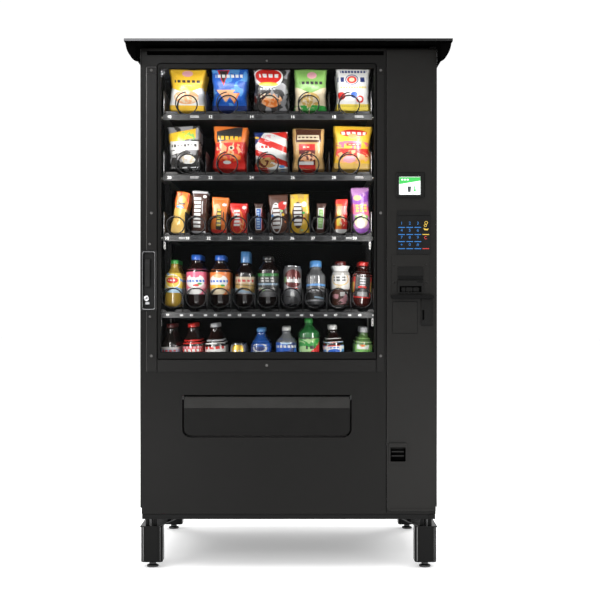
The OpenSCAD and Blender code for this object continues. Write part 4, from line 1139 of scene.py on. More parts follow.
def tray(i):
    row = Row(i)
    lo, hi = row.lo, row.hi
    front, back = lo[1] + 7 * MM, hi[1] - MOTOR_BAR
    body = f"tray_{i + 1}"
    deck = Piece(f"tray_deck_{i + 1}", "tray", "side_edge", "wire", "lip", "rail")
    deck.box((lo[0], front, row.floor - 1.5 * MM), (hi[0], back, row.floor))
    side_top = row.floor + 92 * MM
    tall = side_top - row.floor

    def wall(x, thick, nose, cut):
        """Side or divider from x on, with its upper front corner cut off."""
        deck.prism([(front + 5 * MM, 0), (back, 0), (back, tall), (front + nose * MM, tall),
                    (front + 5 * MM, tall - cut * MM)], 0, thick * MM)
        turn_last(deck, x, row.floor + 0.1 * MM)

    for x, inward in ((lo[0], 1), (hi[0] - 1.5 * MM, -1)):
        wall(x, 1.5, 12, 8)
        deck.lathe([(1.9 * MM, row.floor + 2 * MM), (1.9 * MM, side_top - 3 * MM)],
                   (x + 0.75 * MM + inward * 1.2 * MM, front + 4 * MM, 0), "z", 12, (True, True), 1)
    for a, b in zip(row.centres, row.centres[1:]):
        x = (a + b) / 2
        wall(x - 0.6 * MM, 1.2, 16, 12)
        deck.lathe([(1.2 * MM, row.floor + 6 * MM), (1.2 * MM, side_top - 12 * MM)], (x, front + 3.6 * MM, 0),
                   "z", 8, (True, True), 2)
    deck.box((lo[0], back, row.floor - 1.5 * MM), (hi[0], hi[1], side_top), 3)
    deck.done(body, [body])
    # Black lip with a dip in front of each coil
    lip = Piece(f"tray_lip_{i + 1}", "lip")
    y = (front, front + 2 * MM)
    lip.box((lo[0], y[0], row.floor + 0.2 * MM), (hi[0], y[1], row.rail + 2.5 * MM))
    half, dip = row.pitch / 2, (24 if row.n == 5 else 15) * MM
    for x in row.centres:
        for a, b in ((max(x - half + 2 * MM, lo[0] + 1 * MM), x - dip),
                     (x + dip, min(x + half - 2 * MM, hi[0] - 1 * MM))):
            slope = 7 * MM
            inner_left, inner_right = (0, slope) if b < x else (slope, 0)
            lip.prism([(a, row.rail + 2.4 * MM), (b, row.rail + 2.4 * MM), (b - inner_right, row.rail + 11 * MM),
                       (a + inner_left, row.rail + 11 * MM)], y[0] - 1.2 * MM, y[1] + 1.2 * MM)
    lip.done(body, bevel=0.5)
    rail = Piece(f"price_rail_{i + 1}", "rail", "lip", "edge_light")
    y0 = lo[1] + 0.6 * MM
    # Section of the rail in mm: depth behind its front, drop below its top
    section = ((6, 20), (0.6, 20), (0, 18.5), (0, 2.2), (0.7, 1.2), (1.6, 0), (6, 0))
    rail.skin([[(x, y0 + depth * MM, row.rail - drop * MM) for depth, drop in section]
               for x in (lo[0], hi[0])], True, (True, True))
    rail.done(body)
    marks = Piece(f"rail_marks_{i + 1}", "white_ink_painted_glow", "lip", "rail", "grey_ink_painted_glow")
    rail_prints(marks, row, y0 - 0.05 * MM)
    marks.done(body)
    if i in (2, 3):
        ends = Piece(f"rail_ends_{i + 1}", "end_plate", "dark_and_shade")
        for x0 in (lo[0] - 1 * MM if i == 2 else lo[0] + 6 * MM, hi[0] - 13 * MM):
            ends.plate([x0 + 2 * MM, x0 + 9 * MM, row.rail - 50 * MM, row.rail - 21 * MM], front,
                       front + 2 * MM, (3.4, 3.4, 1, 1))
            for drop in (30, 44):
                ends.lathe([(2.2 * MM, front - 0.8 * MM), (1.5 * MM, front)],
                           (x0 + 5.5 * MM, 0, row.rail - drop * MM), "y", 12, (True, False), 1)
        ends.done(body, bevel=0.8)
    wires = Piece(f"coil_wires_{i + 1}", "wire")
    skip = {1: 3, 2: 4}.get(i)
    for k, x in enumerate(row.centres):
        if k != skip:
            coil(wires, row, x)
    wires.done(body, [f"spirals_{i + 1}"])
    return row


def turn_last(piece, x, z):
    """Turns the last made prism from the XZ plane into the YZ plane, at x and above z."""
    piece.bm.verts.ensure_lookup_table()
    for v in piece.bm.verts[piece.mark:]:
        y, t, h = v.co.x, v.co.y, v.co.z
        v.co = Vector((x + t, y, z + h))


def uprights():
    """Slotted uprights at the back of the product space."""
    strips = Piece("slotted_uprights", "tray", "dark_and_shade")
    for x0 in (low("product_liner", "x") + 4 * MM, high("product_liner", "x") - 24 * MM):
        z0, z1 = high("tray_4", "z") + 12 * MM, high("product_liner", "z") - 8 * MM
        strips.box((x0, 30 * MM, z0), (x0 + 18 * MM, 32 * MM, z1))
        z = z0 + 8 * MM
        while z < z1 - 10 * MM:
            # Slots drawn as dark plates: painted shade
            strips.plate([x0 + 6 * MM, x0 + 11 * MM, z, z + 6 * MM], 29.6 * MM, 30.1 * MM, 1, mat=1)
            z += 12.5 * MM
    strips.done("cabinet")


# ---------------------------------------------------------------- goods


class Art(Nodes):
    """Printed wrapping from plain shapes; across and up both run from 0 to 1 over the front."""

    def __init__(self, name, base, rough, wrapped=False, shine=0.3, glow=0.08, dim=1.0):
        super().__init__(name, base, rough)
        split = self.tree.nodes.new("ShaderNodeSeparateXYZ")
        uv = self.tree.nodes.new("ShaderNodeUVMap")
        uv.uv_map = "map"
        self.link(uv.outputs[0], split.inputs[0])
        self.u, self.v = split.outputs[0], split.outputs[1]
        if wrapped:
            self.u = self.math("ADD", self.times(self.minus(self.u, 0.5), 2.0), 0.5)
        self.tone = base
        self.set(Coat_Weight=shine, Coat_Roughness=0.18, Specular_IOR_Level=0.5)
        self.glow, self.dim = glow, dim

    def times(self, *values):
        out = values[0]
        for value in values[1:]:
            out = self.math("MULTIPLY", out, value)
        return out

    def minus(self, a, b):
        return self.math("SUBTRACT", a, b)

    def under(self, a, b):
        return self.math("LESS_THAN", a, b)

    def between(self, value, a, b):
        return self.times(self.math("GREATER_THAN", value, a), self.under(value, b))

    def slanted(self, slant):
        return self.math("ADD", self.v, self.times(self.u, slant)) if slant else self.v

    def mask(self, kind, *p):
        """One where the ink is printed; p are the numbers that each kind lists."""
        u, v = self.u, self.v
        if kind == "band":                      # v0, v1, slant
            return self.between(self.slanted(p[2] if len(p) > 2 else 0), p[0], p[1])
        if kind == "box":                       # u0, u1, v0, v1, slant
            slant = p[4] if len(p) > 4 else 0
            return self.times(self.between(u, p[0], p[1]), self.between(self.slanted(slant), p[2], p[3]))
        if kind in ("oval", "ring"):            # centre, radii, thickness
            du = self.math("DIVIDE", self.minus(u, p[0]), p[2])
            dv = self.math("DIVIDE", self.minus(v, p[1]), p[3])
            d = self.math("ADD", self.times(du, du), self.times(dv, dv))
            return self.between(d, (1 - p[4]) ** 2, 1.0) if kind == "ring" else self.under(d, 1.0)
        if kind == "wedge":                     # tip u, tip v, half-width a unit of height, base v
            wide = self.times(self.math("ABSOLUTE", self.minus(v, p[1])), p[2])
            near = self.under(self.math("ABSOLUTE", self.minus(u, p[0])), wide)
            return self.times(near, self.between(v, min(p[1], p[3]), max(p[1], p[3])))
        if kind == "stripes":                   # count, slant, share, v0, v1
            f = self.math("FRACT", self.times(self.slanted(p[1]), p[0]))
            return self.times(self.under(f, p[2]), self.between(v, p[3], p[4]))
        if kind == "blobs":                     # scale, threshold, centre, radii
            n = self.noise(p[0], 2.0, coords="UV", distortion=0.6)
            place = self.mask("oval", *p[2:6]) if len(p) > 2 else 1.0
            return self.times(self.math("GREATER_THAN", n, p[1]), place)
        if kind == "marks":                     # u0, u1, v0, v1, lines, count: rows of bars like small print
            f = self.math("FRACT", self.times(self.minus(v, p[2]), p[4] / (p[3] - p[2])))
            across = self.math("FRACT", self.times(self.math("ADD", u, self.times(v, 0.11)), p[5]))
            return self.times(self.between(f, 0.18, 0.82), self.between(across, 0.0, 0.68),
                              self.mask("box", *p[:4]))
        raise ValueError(kind)

    def layers(self, text):
        """Prints layers over the base; each is an ink, a kind of mask and its numbers."""
        for layer in text.split(","):
            ink, kind, *values = layer.split()
            self.tone = self.mix(self.mask(kind, *map(float, values)), self.tone, INK[ink])
        return self

    def finished(self, crumple=0.0):
        tone = self.tone
        if isinstance(tone, tuple):
            tone = self.mix(self.noise(40.0, 2.0, coords="UV"), shade(tone, 0.93), tone)
        # Painted shade: dim darkens the print towards black
        if self.dim < 1:
            tone = self.mix(1 - self.dim, tone, (0.0, 0.0, 0.0))
        self.colour(tone)
        # Painted light: the print glows by glow, though it is no lamp
        self.link(tone, self.shader.inputs["Emission Color"])
        self.set(Emission_Strength=self.glow)
        if crumple:
            self.bump(self.noise(7.0, 3.0, coords="UV", distortion=0.4), crumple * MM, 0.8)
            self.bump(self.noise(26.0, 2.0, coords="UV"), crumple * 0.3 * MM, 0.5)
        return self.mat


INK = {name: tuple(map(float, rgb)) for name, *rgb in map(str.split, """
    white .8 .8 .78, cream .78 .66 .46, grey .3 .3 .31, silver .52 .53 .55, black .01 .01 .01,
    coal .035 .033 .032, yellow .85 .52 .035, lemon .8 .62 .08, gold .62 .4 .1, tan .62 .38 .14,
    orange .8 .2 .03, peach .85 .42 .2, red .66 .022 .015, wine .14 .01 .008, pink .74 .12 .22,
    rose .8 .4 .45, blue .015 .11 .52, sky .1 .33 .72, ice .42 .62 .8, navy .012 .03 .16,
    green .03 .34 .05, leaf .26 .52 .13, mint .42 .66 .3, olive .26 .22 .03, brown .055 .018 .01,
    cocoa .1 .035 .018, purple .22 .05 .36, lilac .4 .18 .42, amber .8 .55 .2""".split(","))}


def pack(piece, x, y, z, w, h, t, seed, pinch=0.09, lean=0.0, tip=0.0, thin=0.011, fine=True):
    """Sealed bag or bar wrapper: pillow-shaped, creased towards its crimped ends."""
    nu, nv = (16, 26) if fine else (8, 12)
    rng = random.Random(seed)
    phase = [rng.uniform(0, 6.28) for _ in range(6)]
    seal = min(0.07, 9 * MM / h)
    mark = len(piece.bm.verts)
    loops = []
    for i in range(nv + 1):
        v = i / nv
        q = min(max((v - seal) / (1 - 2 * seal), 0), 1)
        puff = math.sin(math.pi * q) ** 0.55 if 0 < q < 1 else 0.0
        half = w / 2 * (1 - pinch * math.sin(math.pi * v) ** 1.4)
        edge = 1.4 * MM * math.sin(9 * v + phase[0]) + 0.8 * MM * math.sin(23 * v + phase[1])
        from_end = min(v, 1 - v) * h
        room = min(1.0, (thin + max(0.0, v * h - 24 * MM) * 0.9) / (t / 2))
        front, back = [], []
        for k in range(nu + 1):
            u = k / nu
            s = 2 * u - 1
            across = max(0.0, 1 - abs(s) ** 2.6) ** 0.62
            pleat = 1.3 * MM * math.sin(34 * u + phase[2] + 5 * v) * math.exp(-from_end / (13 * MM)) * across
            crease = 2.6 * MM * noise.noise(Vector((u * 2.6, v * 3.4, seed * 1.7)))
            crease += 1.3 * MM * noise.noise(Vector((u * 7, v * 9, seed)))
            d = t / 2 * puff * across * room + crease * puff * across * min(1.0, room * 1.2)
            d = max(d + (pleat if puff > 0 else 0), 0.35 * MM)
            px = s * half + edge * (1 if s > 0 else -1) * abs(s)
            pz = v * h + (1.2 * MM * math.sin(6 * u + phase[3]) if v in (0.0, 1.0) else 0)
            front.append((px, -d, pz))
            if 0 < k < nu:
                back.append((px, d * 0.8, pz))
        loops.append(front + back[::-1])
    n = len(loops[0])

    def place(i, j):
        j %= n
        return ((j if j <= nu else 2 * nu - j) / nu, i / nv)

    piece.skin(loops, True, (True, True), True, 0, place)
    tilt(piece, mark, x, y, z, lean, tip)


def bottle(piece, x, y, z, r, h, cap_r, cap_h, label, shoulder, lean, tip):
    """Bottle with a shoulder, a wrapped label and a ridged cap, in materials 0, 1 and 2."""
    mark = len(piece.bm.verts)
    neck, top = cap_r * 0.9, h - cap_h
    profile = [(0.55 * r, 2.5 * MM), (0.74 * r, 0.4 * MM), (0.90 * r, 2.0 * MM), (r, 9 * MM)]
    for k in range(1, 9):
        profile.append((r, 9 * MM + (shoulder * h - 9 * MM) * (k / 8)))
    for k in range(1, 9):
        q = k / 8
        profile.append((neck + (r - neck) * (0.5 + 0.5 * math.cos(math.pi * q)),
                        shoulder * h + (top - 5 * MM - shoulder * h) * q))
    profile += [(neck, top - 4.6 * MM), (neck + 2.2 * MM, top - 4 * MM), (neck + 2.2 * MM, top - 2.4 * MM),
                (neck, top - 2 * MM), (neck, top)]
    piece.lathe(profile, ORIGIN, "z", 36, (True, True), 0, True)
    a, b = label[0] * h, label[1] * h
    band = []
    for k in range(9):
        z0 = a + (b - a) * k / 8
        radius = next((p[0] + (q[0] - p[0]) * (z0 - p[1]) / max(q[1] - p[1], 1e-6)
                       for p, q in zip(profile[3:], profile[4:]) if p[1] <= z0 <= q[1] + 1e-9), r)
        band.append((radius + 0.35 * MM, z0))
    piece.lathe(band, ORIGIN, "z", 36, (False, False), 1, True)
    piece.lathe([(cap_r, top + 0.3 * MM), (cap_r, top + 2.4 * MM)], ORIGIN, "z", 48, (True, False), 2, True)
    piece.lathe([(cap_r * 0.99, top + 2.6 * MM), (cap_r * 0.98, h - 2 * MM), (cap_r * 0.90, h - 0.5 * MM),
                 (cap_r * 0.72, h)], ORIGIN, "z", 48, (False, True), 2, True, (1.0, 0.965))
    tilt(piece, mark, x, y, z, lean, tip)


def can(piece, x, y, z, r, h, lean, tip):
    """Drinks can with its necked ends, in print (0) and bare metal (1)."""
    mark = len(piece.bm.verts)
    side = [(0.80 * r, 8 * MM), (r, 15 * MM), (r, h - 14 * MM), (0.86 * r, h - 4 * MM)]
    foot = [(0.45 * r, 9 * MM), (0.62 * r, 4 * MM), (0.72 * r, 0.6 * MM), (0.76 * r, 1.2 * MM), side[0]]
    lid = [side[-1], (0.88 * r, h - 1 * MM), (0.86 * r, h), (0.82 * r, h - 0.6 * MM), (0.80 * r, h - 4 * MM),
           (0.3 * r, h - 4.4 * MM)]
    for profile, caps, mat in ((side, (False, False), 0), (foot, (True, False), 1), (lid, (False, True), 1)):
        piece.lathe(profile, ORIGIN, "z", 40, caps, mat, True)
    tilt(piece, mark, x, y, z, lean, tip)


def tilt(piece, mark, x, y, z, lean, tip):
    """Stands what was made since the mark at a place, leaning sideways and tipped backwards by degrees."""
    lean, tip = Matrix.Rotation(math.radians(lean), 4, "Y"), Matrix.Rotation(math.radians(tip), 4, "X")
    bend = Matrix.Translation((x, y, z)) @ lean @ tip
    piece.bm.verts.ensure_lookup_table()
    for vert in piece.bm.verts[mark:]:
        vert.co = bend @ vert.co


# Bags: centre x, width, height in mm, lean in degrees, base ink, printed layers
BAGS = [
    [(-378, 134, 150, 1, "yellow", """
        white band .1 .55 0, yellow wedge .45 .42 3.4 .62, rose oval .5 .9 .15 .075,
        coal marks .12 .88 .66 .76 1 7, gold marks .15 .85 .59 .63 1 12, peach oval .48 .33 .36 .17,
        cream blobs 9 .5 .48 .33 .34 .15, silver box .83 .97 .14 .42, yellow band 0 .13 0"""),
     (-219, 137, 152, 0, "blue", """
        sky blobs 3 .54, navy band 0 .12 0, red wedge .32 .6 .45 .98, coal wedge .32 .66 .42 .96,
        white marks .1 .86 .77 .89 1 8, peach wedge .38 .2 .95 .5, orange wedge .62 .17 .75 .42,
        peach wedge .6 .19 .62 .42"""),
     (-66, 136, 150, 1, "coal", """
        grey blobs 4 .52, white oval .4 .8 .42 .25, red oval .4 .83 .37 .19, yellow oval .4 .64 .3 .055,
        white marks .14 .68 .78 .92 1 6, silver marks .1 .62 .49 .56 1 10, wine blobs 6 .47 .16 .28 .18 .12,
        orange oval .5 .2 .22 .12, peach blobs 8 .5 .5 .26 .3 .16, cream blobs 7 .55 .4 .36 .26 .08"""),
     (79, 124, 150, 0, "leaf", """
        cream band 0 .56 0, leaf wedge .5 .42 3 .6, rose oval .54 .86 .15 .085,
        coal marks .15 .92 .62 .73 1 7, gold oval .5 .26 .3 .18, cream blobs 10 .52 .5 .26 .28 .17,
        green blobs 5 .44 .5 .05 .6 .09"""),
     (236, 128, 151, 0, "white", """
        navy marks .12 .9 .9 .985 1 11, navy marks .02 .22 .66 .84 1 5, navy marks .72 .92 .66 .84 1 5,
        navy oval .46 .75 .2 .125, white oval .46 .75 .175 .105, red oval .46 .75 .15 .088,
        cream oval .46 .75 .085 .05, lemon marks .08 .92 .53 .6 1 12, red oval .14 .36 .12 .095,
        blue oval .54 .38 .11 .08, red oval .72 .28 .12 .09, white oval .72 .28 .07 .05, lemon band 0 .16 0,
        olive marks .1 .9 .1 .13 1 16""")],
    [(-385, 122, 158, -2, "coal", """
        grey blobs 3 .5, yellow box 0 .88 .62 .84 -.12, leaf blobs 7 .56 .6 .75 .25 .14,
        white box .04 .98 .46 .66 .02, coal marks .08 .92 .5 .6 1 9, white box .08 .8 .32 .4 -.22,
        white oval .62 .24 .22 .12, cream blobs 8 .52 .6 .24 .24 .1, black band 0 .13 0,
        silver marks .4 .95 .02 .06 1 3"""),
     (-221, 126, 157, 2, "red", """
        orange band .6 1 -.05, coal box .08 .84 .6 .86 -.2, yellow marks .12 .8 .66 .8 1 7,
        peach blobs 6 .5 .48 .48 .44 .15, cream oval .54 .5 .1 .05, coal oval .54 .5 .05 .03,
        orange blobs 9 .5 .46 .3 .42 .12, white oval .42 .16 .12 .04, red band 0 .11 0"""),
     (-66, 126, 136, -1, "white", """
        red stripes 2.6 .34 .42 0 1, navy wedge -.05 .6 .9 1, yellow oval .06 .86 .08 .03,
        rose blobs 8 .54 .45 .84 .22 .1, red marks .12 .72 .55 .66 1 8, wine oval .24 .16 .22 .14,
        tan blobs 8 .46 .35 .18 .32 .14, sky oval .82 .07 .09 .04"""),
     None,
     (233, 142, 158, 1, "yellow", """
        red oval .52 .84 .36 .085, white marks .2 .84 .78 .89 1 7, tan oval .5 .77 .13 .06,
        pink blobs 7 .44 .5 .57 .5 .09, red box .32 .72 .54 .6, cream marks .36 .68 .56 .585 1 9,
        red box .03 .97 .29 .48, peach blobs 9 .46 .5 .28 .46 .16, rose oval .42 .23 .18 .08,
        gold band 0 .14 0""")],
]
MOVING_BAG = (71.5, 120, 150, 0, "tan", """
        cocoa box .1 .9 .66 .99, cream box .14 .84 .72 .84, cocoa marks .18 .8 .75 .81 1 8,
        red box .18 .72 .46 .61, cream marks .3 .56 .51 .56 1 8, wine box .18 .72 0 .46,
        peach blobs 9 .44 .45 .3 .28 .13, white box .18 .66 .11 .19, red box .18 .72 0 .1""")

# Bars, in the same order
BARS = [
    (-414, 50, 154, 9, "gold", """
        orange band .6 1 0, red blobs 4 .5 .5 .86 .6 .16, gold oval .5 .82 .26 .1, coal box .24 .74 .7 .74,
        sky oval .42 .635 .3 .03, gold marks .1 .9 .14 .54 7 4"""),
    (-334, 57, 156, 2, "brown", """
        silver band .94 1 0, silver band 0 .05 0, white marks .14 .58 .12 .86 8 1,
        silver box .66 .72 .45 .76, white oval .82 .87 .12 .035"""),
    (-260, 60, 132, 3, "orange", """
        red band 0 .1 0, peach oval .3 .62 .25 .2, coal box .3 .62 .14 .72 .1,
        lemon marks .34 .58 .18 .7 5 1, coal box .7 .78 .35 .6, white oval .76 .8 .14 .04"""),
    (-186, 64, 110, 0, "red", """
        orange oval .42 .4 .36 .42, red oval .4 .39 .3 .38, white marks .22 .56 .22 .8 5 1,
        peach blobs 6 .52 .72 .3 .2 .18, white oval .8 .86 .12 .06"""),
    None,
    (-36, 69, 141, -2, "cocoa", """
        white oval .36 .4 .3 .4, cocoa oval .36 .4 .25 .37, white marks .18 .56 .1 .76 6 1,
        red oval .72 .72 .24 .11, white oval .84 .78 .09 .035, mint oval .66 .58 .08 .03,
        yellow oval .74 .48 .08 .035, sky oval .14 .46 .07 .035, orange oval .86 .3 .08 .035"""),
    (40, 71, 144, -1, "yellow", """
        gold blobs 3 .54, brown oval .4 .46 .28 .34, white marks .2 .6 .18 .78 6 1,
        white oval .74 .74 .13 .07, blue oval .16 .36 .08 .035, red oval .74 .38 .07 .03,
        green oval .7 .52 .07 .03, mint oval .62 .08 .08 .025"""),
    (114, 33, 110, 3, "brown", """
        white box .14 .84 .14 .84, leaf box .24 .74 .18 .8, mint marks .3 .66 .2 .76 6 1,
        wine box .84 .94 .1 .85"""),
    (192, 44, 125, 1, "orange", """
        red box .52 1 .12 .95, red band .86 1 0, lemon box .12 .42 .22 .68, white stripes 9 .6 .3 .55 .8,
        white band 0 .12 0, cream blobs 5 .56 .6 .4 .3 .2"""),
    (269, 64, 168, -3, "lilac", """
        purple band .6 .82 -.1, lilac blobs 5 .52 .5 .9 .6 .1, peach oval .32 .78 .24 .06,
        pink band .44 .66 .08, lemon marks .12 .88 .46 .64 3 4, cream oval .48 .27 .38 .16,
        white oval .48 .2 .22 .09, leaf blobs 8 .54 .5 .36 .4 .06, purple band 0 .1 0"""),
]
MOVING_BAR = (-112.8, 28, 108, 0, "brown", """
        white box .1 .88 .1 .84, blue box .18 .8 .13 .82, ice marks .26 .72 .16 .78 7 1,
        red box .86 .93 .1 .84""")


def wrapping(name, ink, layers, crumple=0.9, dim=0.84):
    return Art(name, INK[ink], 0.32, shine=0.35, dim=dim).layers(layers).finished(crumple)


def bag_rows(rows):
    for i in (0, 1):
        row = rows[i]
        for k, spec in enumerate(BAGS[i]):
            if not spec:
                continue
            x, w, h, lean, ink, layers = spec
            piece = Piece(f"bags_{i + 1}_{k + 1}", wrapping(f"bag_print_{i + 1}_{k + 1}", ink, layers))
            z = row.coil_z - 0.38 * row.coil_r
            for depth, y in enumerate(row.places()):
                pack(piece, x * MM, y, z, w * MM, h * MM, 46 * MM, 11 * i + 3 * k + depth, pinch=0.10,
                     lean=lean, tip=6 if i == 0 else 3, fine=depth == 0)
            piece.done(f"tray_{i + 1}")
    row = rows[1]
    x, w, h, lean, ink, layers = MOVING_BAG
    piece = Piece("bags_moving", wrapping("bag_print_moving", ink, layers))
    for k in range(1, 8):
        pack(piece, row.centres[3], row.coil_y + (k + 0.5) * row.lead, row.coil_z - 0.38 * row.coil_r,
             w * MM, h * MM, 40 * MM, 70 + k, pinch=0.08, fine=k < 3)
    piece.done("bags", ["bag_stock"])


def bar_row(row):
    z = row.coil_z - 0.82 * row.coil_r
    for k, spec in enumerate(BARS):
        if not spec:
            continue
        x, w, h, lean, ink, layers = spec
        piece = Piece(f"bars_3_{k + 1}", wrapping(f"bar_print_{k + 1}", ink, layers, 0.6))
        for depth, y in enumerate(row.places()):
            pack(piece, x * MM, y, z, w * MM, h * MM, 20 * MM, 100 + 5 * k + depth, pinch=0.03, lean=lean,
                 tip=2, thin=0.007, fine=depth == 0)
        piece.done("tray_3")
    x, w, h, lean, ink, layers = MOVING_BAR
    piece = Piece("bars_moving", wrapping("bar_print_moving", ink, layers, 0.5))
    for k in range(1, 10):
        pack(piece, row.centres[4], row.coil_y + (k + 0.5) * row.lead, row.coil_z - 0.78 * row.coil_r,
             w * MM, h * MM, 12 * MM, 170 + k, pinch=0.02, thin=0.005, fine=k < 3)
    piece.done("bars", ["bar_stock"])


def plain_bottle(name, ink, rough=0.12, glow=0.01, dim=1.0):
    art = Art(name, INK[ink] if isinstance(ink, str) else ink, rough, True, 1.0, glow, dim)
    return art.finished()


def label_of(name, ink, layers, dim):
    return Art(name, INK[ink], 0.36, True, 0.25, 0.02, dim).layers(layers).finished()


# Drinks: centre x, radius, height, cap radius and height in mm, shoulder, lean, tip, body ink, cap ink,
# label span, label ink, printed layers; a None is the row's can
DARK = (0.012, 0.004, 0.003)
DRINKS = [
    [(-432, 33.5, 175, 15, 15, 0.6, 2, 0, (0.4, 0.26, 0.035), "green", (0.3, 0.72), "lemon", """
        ice band 0 .22 0, green band 0 .08 .2, sky stripes 2 .5 .22 .2 1, white oval .45 .58 .32 .36,
        lemon oval .45 .58 .27 .3, red oval .45 .62 .22 .15, white marks .3 .6 .57 .68 1 9"""),
     (-345, 38, 194, 20, 20, 0.66, 0, 0, DARK, "blue", (0.24, 0.72), "pink", """
        rose blobs 4 .46 .5 .2 .6 .25, white oval .46 .52 .34 .27, pink oval .46 .74 .15 .08,
        blue marks .12 .84 .46 .6 1 9, white oval .42 .12 .28 .14, green oval .62 .42 .07 .04,
        red oval .5 .36 .1 .05"""),
     (-257, 38, 192, 20, 20, 0.66, 0, 0, DARK, "blue", (0.24, 0.72), "orange", """
        peach blobs 4 .44 .5 .15 .6 .25, white oval .44 .52 .34 .27, peach oval .44 .74 .15 .08,
        blue marks .12 .82 .46 .6 1 9, yellow oval .4 .32 .28 .07, cream oval .42 .12 .28 .14,
        green oval .6 .36 .07 .04"""),
     (-166, 36, 206, 18, 42, 0.58, 1, 0, DARK, "sky", (0.22, 0.54), "gold", """
        cream box 0 1 .62 1, red marks .12 .84 .68 .88 1 6, brown band .56 .6 .1, ice band .22 .42 .35,
        brown band 0 .18 .2, silver box .2 .8 .04 .12"""),
     (-79, 38, 188, 20, 14, 0.7, 0, 0, DARK, "coal", (0.2, 0.66), "coal", """
        green band .88 1 0, white marks .2 .7 .62 .84 2 6, ice band .5 .58 0, white box .1 .75 .3 .4 .05,
        mint oval .3 .3 .12 .07, pink oval .24 .28 .06 .04, grey band 0 .22 0"""),
     None,
     (99, 35.5, 172, 22, 24, 0.64, 0, -7, (0.13, 0.135, 0.14), "sky", (0.1, 0.48), "coal", """
        sky band .88 1 0, grey stripes 5 .3 .3 .5 .85, silver marks .2 .85 .55 .7 1 7,
        ice box .45 .85 .28 .38 .2, silver band 0 .1 0"""),
     (192, 33.5, 169, 20, 17, 0.72, 0, 0, (0.55, 0.54, 0.52), "wine", (0.04, 0.9), "white", """
        amber oval .46 .66 .36 .17, white oval .46 .66 .31 .14, coal marks .2 .74 .6 .74 2 5,
        cocoa band 0 .4 0, cream oval .4 .45 .1 .03, white marks .42 .78 .2 .36 1 4,
        rose blobs 6 .5 .45 .16 .4 .14"""),
     (266, 34, 168, 19, 16, 0.68, 4, 0, (0.05, 0.008, 0.006), "red", (0.2, 0.78), "coal", """
        red box -.2 .2 0 .95, red box .8 1.2 0 .95, lemon box .04 .16 .2 .6, lemon box .84 .96 .2 .6,
        silver marks .4 .6 .3 .92 6 1, red oval .5 .4 .16 .06, grey box .32 .7 .06 .22, red band 0 .04 0""")],
    [(-442, 35, 214, 15, 15, 0.58, 0, 0, (0.016, 0.012, 0.01), "wine", (0.2, 0.6), "ice", """
        white band .9 1 0, red marks .2 .8 .78 .9 1 7"""),
     (-355, 37.5, 216, 15.5, 15, 0.6, -2, 0, DARK, "red", (0.2, 0.72), "red", """
        rose marks .14 .86 .68 .84 1 8, white marks .2 .8 .58 .72 1 7, lemon oval .86 .8 .05 .03"""),
     (-268, 38, 216, 15.5, 15, 0.6, -3, 0, DARK, "silver", (0.2, 0.72), "white", """
        red marks .1 .84 .66 .84 1 5, coal box .58 .84 .88 .95 .1, silver band .95 1 0"""),
     None,
     (-105, 37, 198, 16, 14, 0.66, 0, 0, (0.02, 0.09, 0.36), "sky", (0.2, 0.76), "blue", """
        navy blobs 4 .5, silver ring .46 .78 .26 .16 .3, ice marks .16 .84 .6 .66 1 8"""),
     (-11, 38, 203, 16, 15, 0.7, 0, 0, (0.18, 0.19, 0.2), "white", (0.2, 0.78), "navy", """
        blue blobs 4 .48, ice oval .5 .9 .2 .07, red oval .46 .95 .08 .03, white marks .1 .92 .7 .82 1 8,
        sky band .4 .58 0"""),
     (76, 38, 234, 15, 16, 0.76, -1, 0, (0.03, 0.2, 0.05), "green", (0.18, 0.7), "leaf", """
        mint oval .3 .72 .36 .3, green blobs 6 .52, coal marks .4 .8 .62 .78 1 5, red wedge 1 .9 1.4 .52,
        coal band .965 1 0"""),
     (172, 38, 209, 16.5, 16, 0.66, -3, 0, DARK, "white", (0.2, 0.77), "sky", """
        white band .88 1 0, white oval .5 .68 .27 .22, red oval .5 .78 .22 .1, white band .66 .75 0,
        blue oval .5 .6 .2 .07, blue marks .3 .7 .68 .74 1 9"""),
     (272, 33, 202, 16, 20, 0.7, 2, 0, (0.1, 0.2, 0.06), "silver", (0.2, 0.8), "leaf", """
        green stripes 5 0 .5 0 .62, white box .22 .7 .66 .98, mint oval .46 .84 .2 .11,
        orange oval .46 .8 .1 .07""")],
]
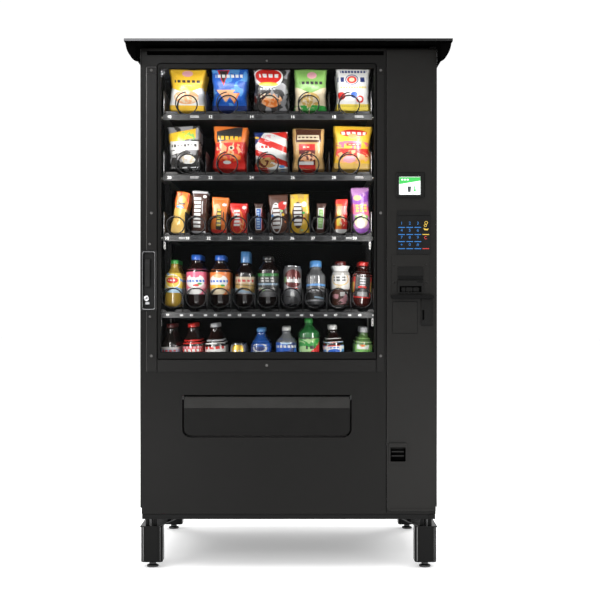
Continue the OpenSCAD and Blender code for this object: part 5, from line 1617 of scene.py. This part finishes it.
# Cans: centre x, radius, height in mm, lean, tip, base ink, printed layers
CANS = {
    3: (12, 33.5, 152, 0, -5, "silver", """
        grey band .55 1 0, wine oval .52 .68 .36 .24, white box .14 .9 .6 .74 .05, mint box .1 .26 .58 .72,
        wine marks .3 .8 .64 .76 1 6, red box .3 .72 .4 .43, white wedge .5 .36 .6 .12,
        grey blobs 3 .52 .5 .1 .5 .12"""),
    4: (-190, 29, 140, 0, 0, "silver", """
        yellow oval .48 .86 .26 .2, white marks .3 .66 .8 .86 1 5"""),
}
# Painted shade: drinks whose print is darkened below the rest of their row, by row and place
SHADED = {(3, 3): 0.40, (3, 4): 0.34, (3, 5): 0.50, (3, 7): 0.52, (4, 0): 0.60, (4, 3): 0.66}


def drink_row(i, row):
    base = row.coil_z - 0.9 * row.coil_r
    bare = metal(f"can_metal_{i + 1}", (0.40, 0.41, 0.42), 0.24)
    for k, spec in enumerate(DRINKS[i - 3]):
        # Painted shade: the fourth row is darkened most, the fifth less
        dim = SHADED.get((i, k), 0.60 if i == 3 else 0.86)
        if spec is None:
            x, r, h, lean, tip, ink, layers = CANS[i]
            art = Art(f"can_print_{i + 1}", INK[ink], 0.3, True, 0.4, 0.03, dim).layers(layers)
            art.set(Metallic=0.55)
            piece = Piece(f"cans_{i + 1}", art.finished(), bare)
            for y in row.places():
                can(piece, x * MM, y, base, r * MM, h * MM, lean, tip)
        else:
            x, r, h, cap_r, cap_h, shoulder, lean, tip, body, cap, span, ink, layers = spec
            tag = f"{i + 1}_{k + 1}"
            piece = Piece(f"bottles_{tag}", plain_bottle(f"bottle_{tag}", body, dim=dim),
                          label_of(f"label_{tag}", ink, layers, dim),
                          plain_bottle(f"cap_{tag}", cap, 0.35, 0.06, dim))
            for y in row.places():
                bottle(piece, x * MM, y, base, r * MM, h * MM, cap_r * MM, cap_h * MM, span, shoulder, lean,
                       tip)
        piece.done(f"tray_{i + 1}")


def moving_coils(rows):
    for i, k, node, body in ((1, 3, "bag_spiral", "bag_coil"), (2, 4, "bar_spiral", "bar_coil")):
        piece = Piece(node + "_wire", "wire")
        coil(piece, rows[i], rows[i].centres[k])
        piece.done(body, [node])


make_camera()
make_lights()
make_floor()
paint_nodes()
canopy()
back_screws()
legs()
door_skin()
column_panel()
window_frame()
window_trims()
tamper_screws()
handle()
delivery()
display()
keypad()
money_column()
coin_return()
uprights()
tray_rows = [tray(i) for i in range(len(ROW_COUNTS))]
moving_coils(tray_rows)
bag_rows(tray_rows)
bar_row(tray_rows[2])
drink_row(3, tray_rows[3])
drink_row(4, tray_rows[4])
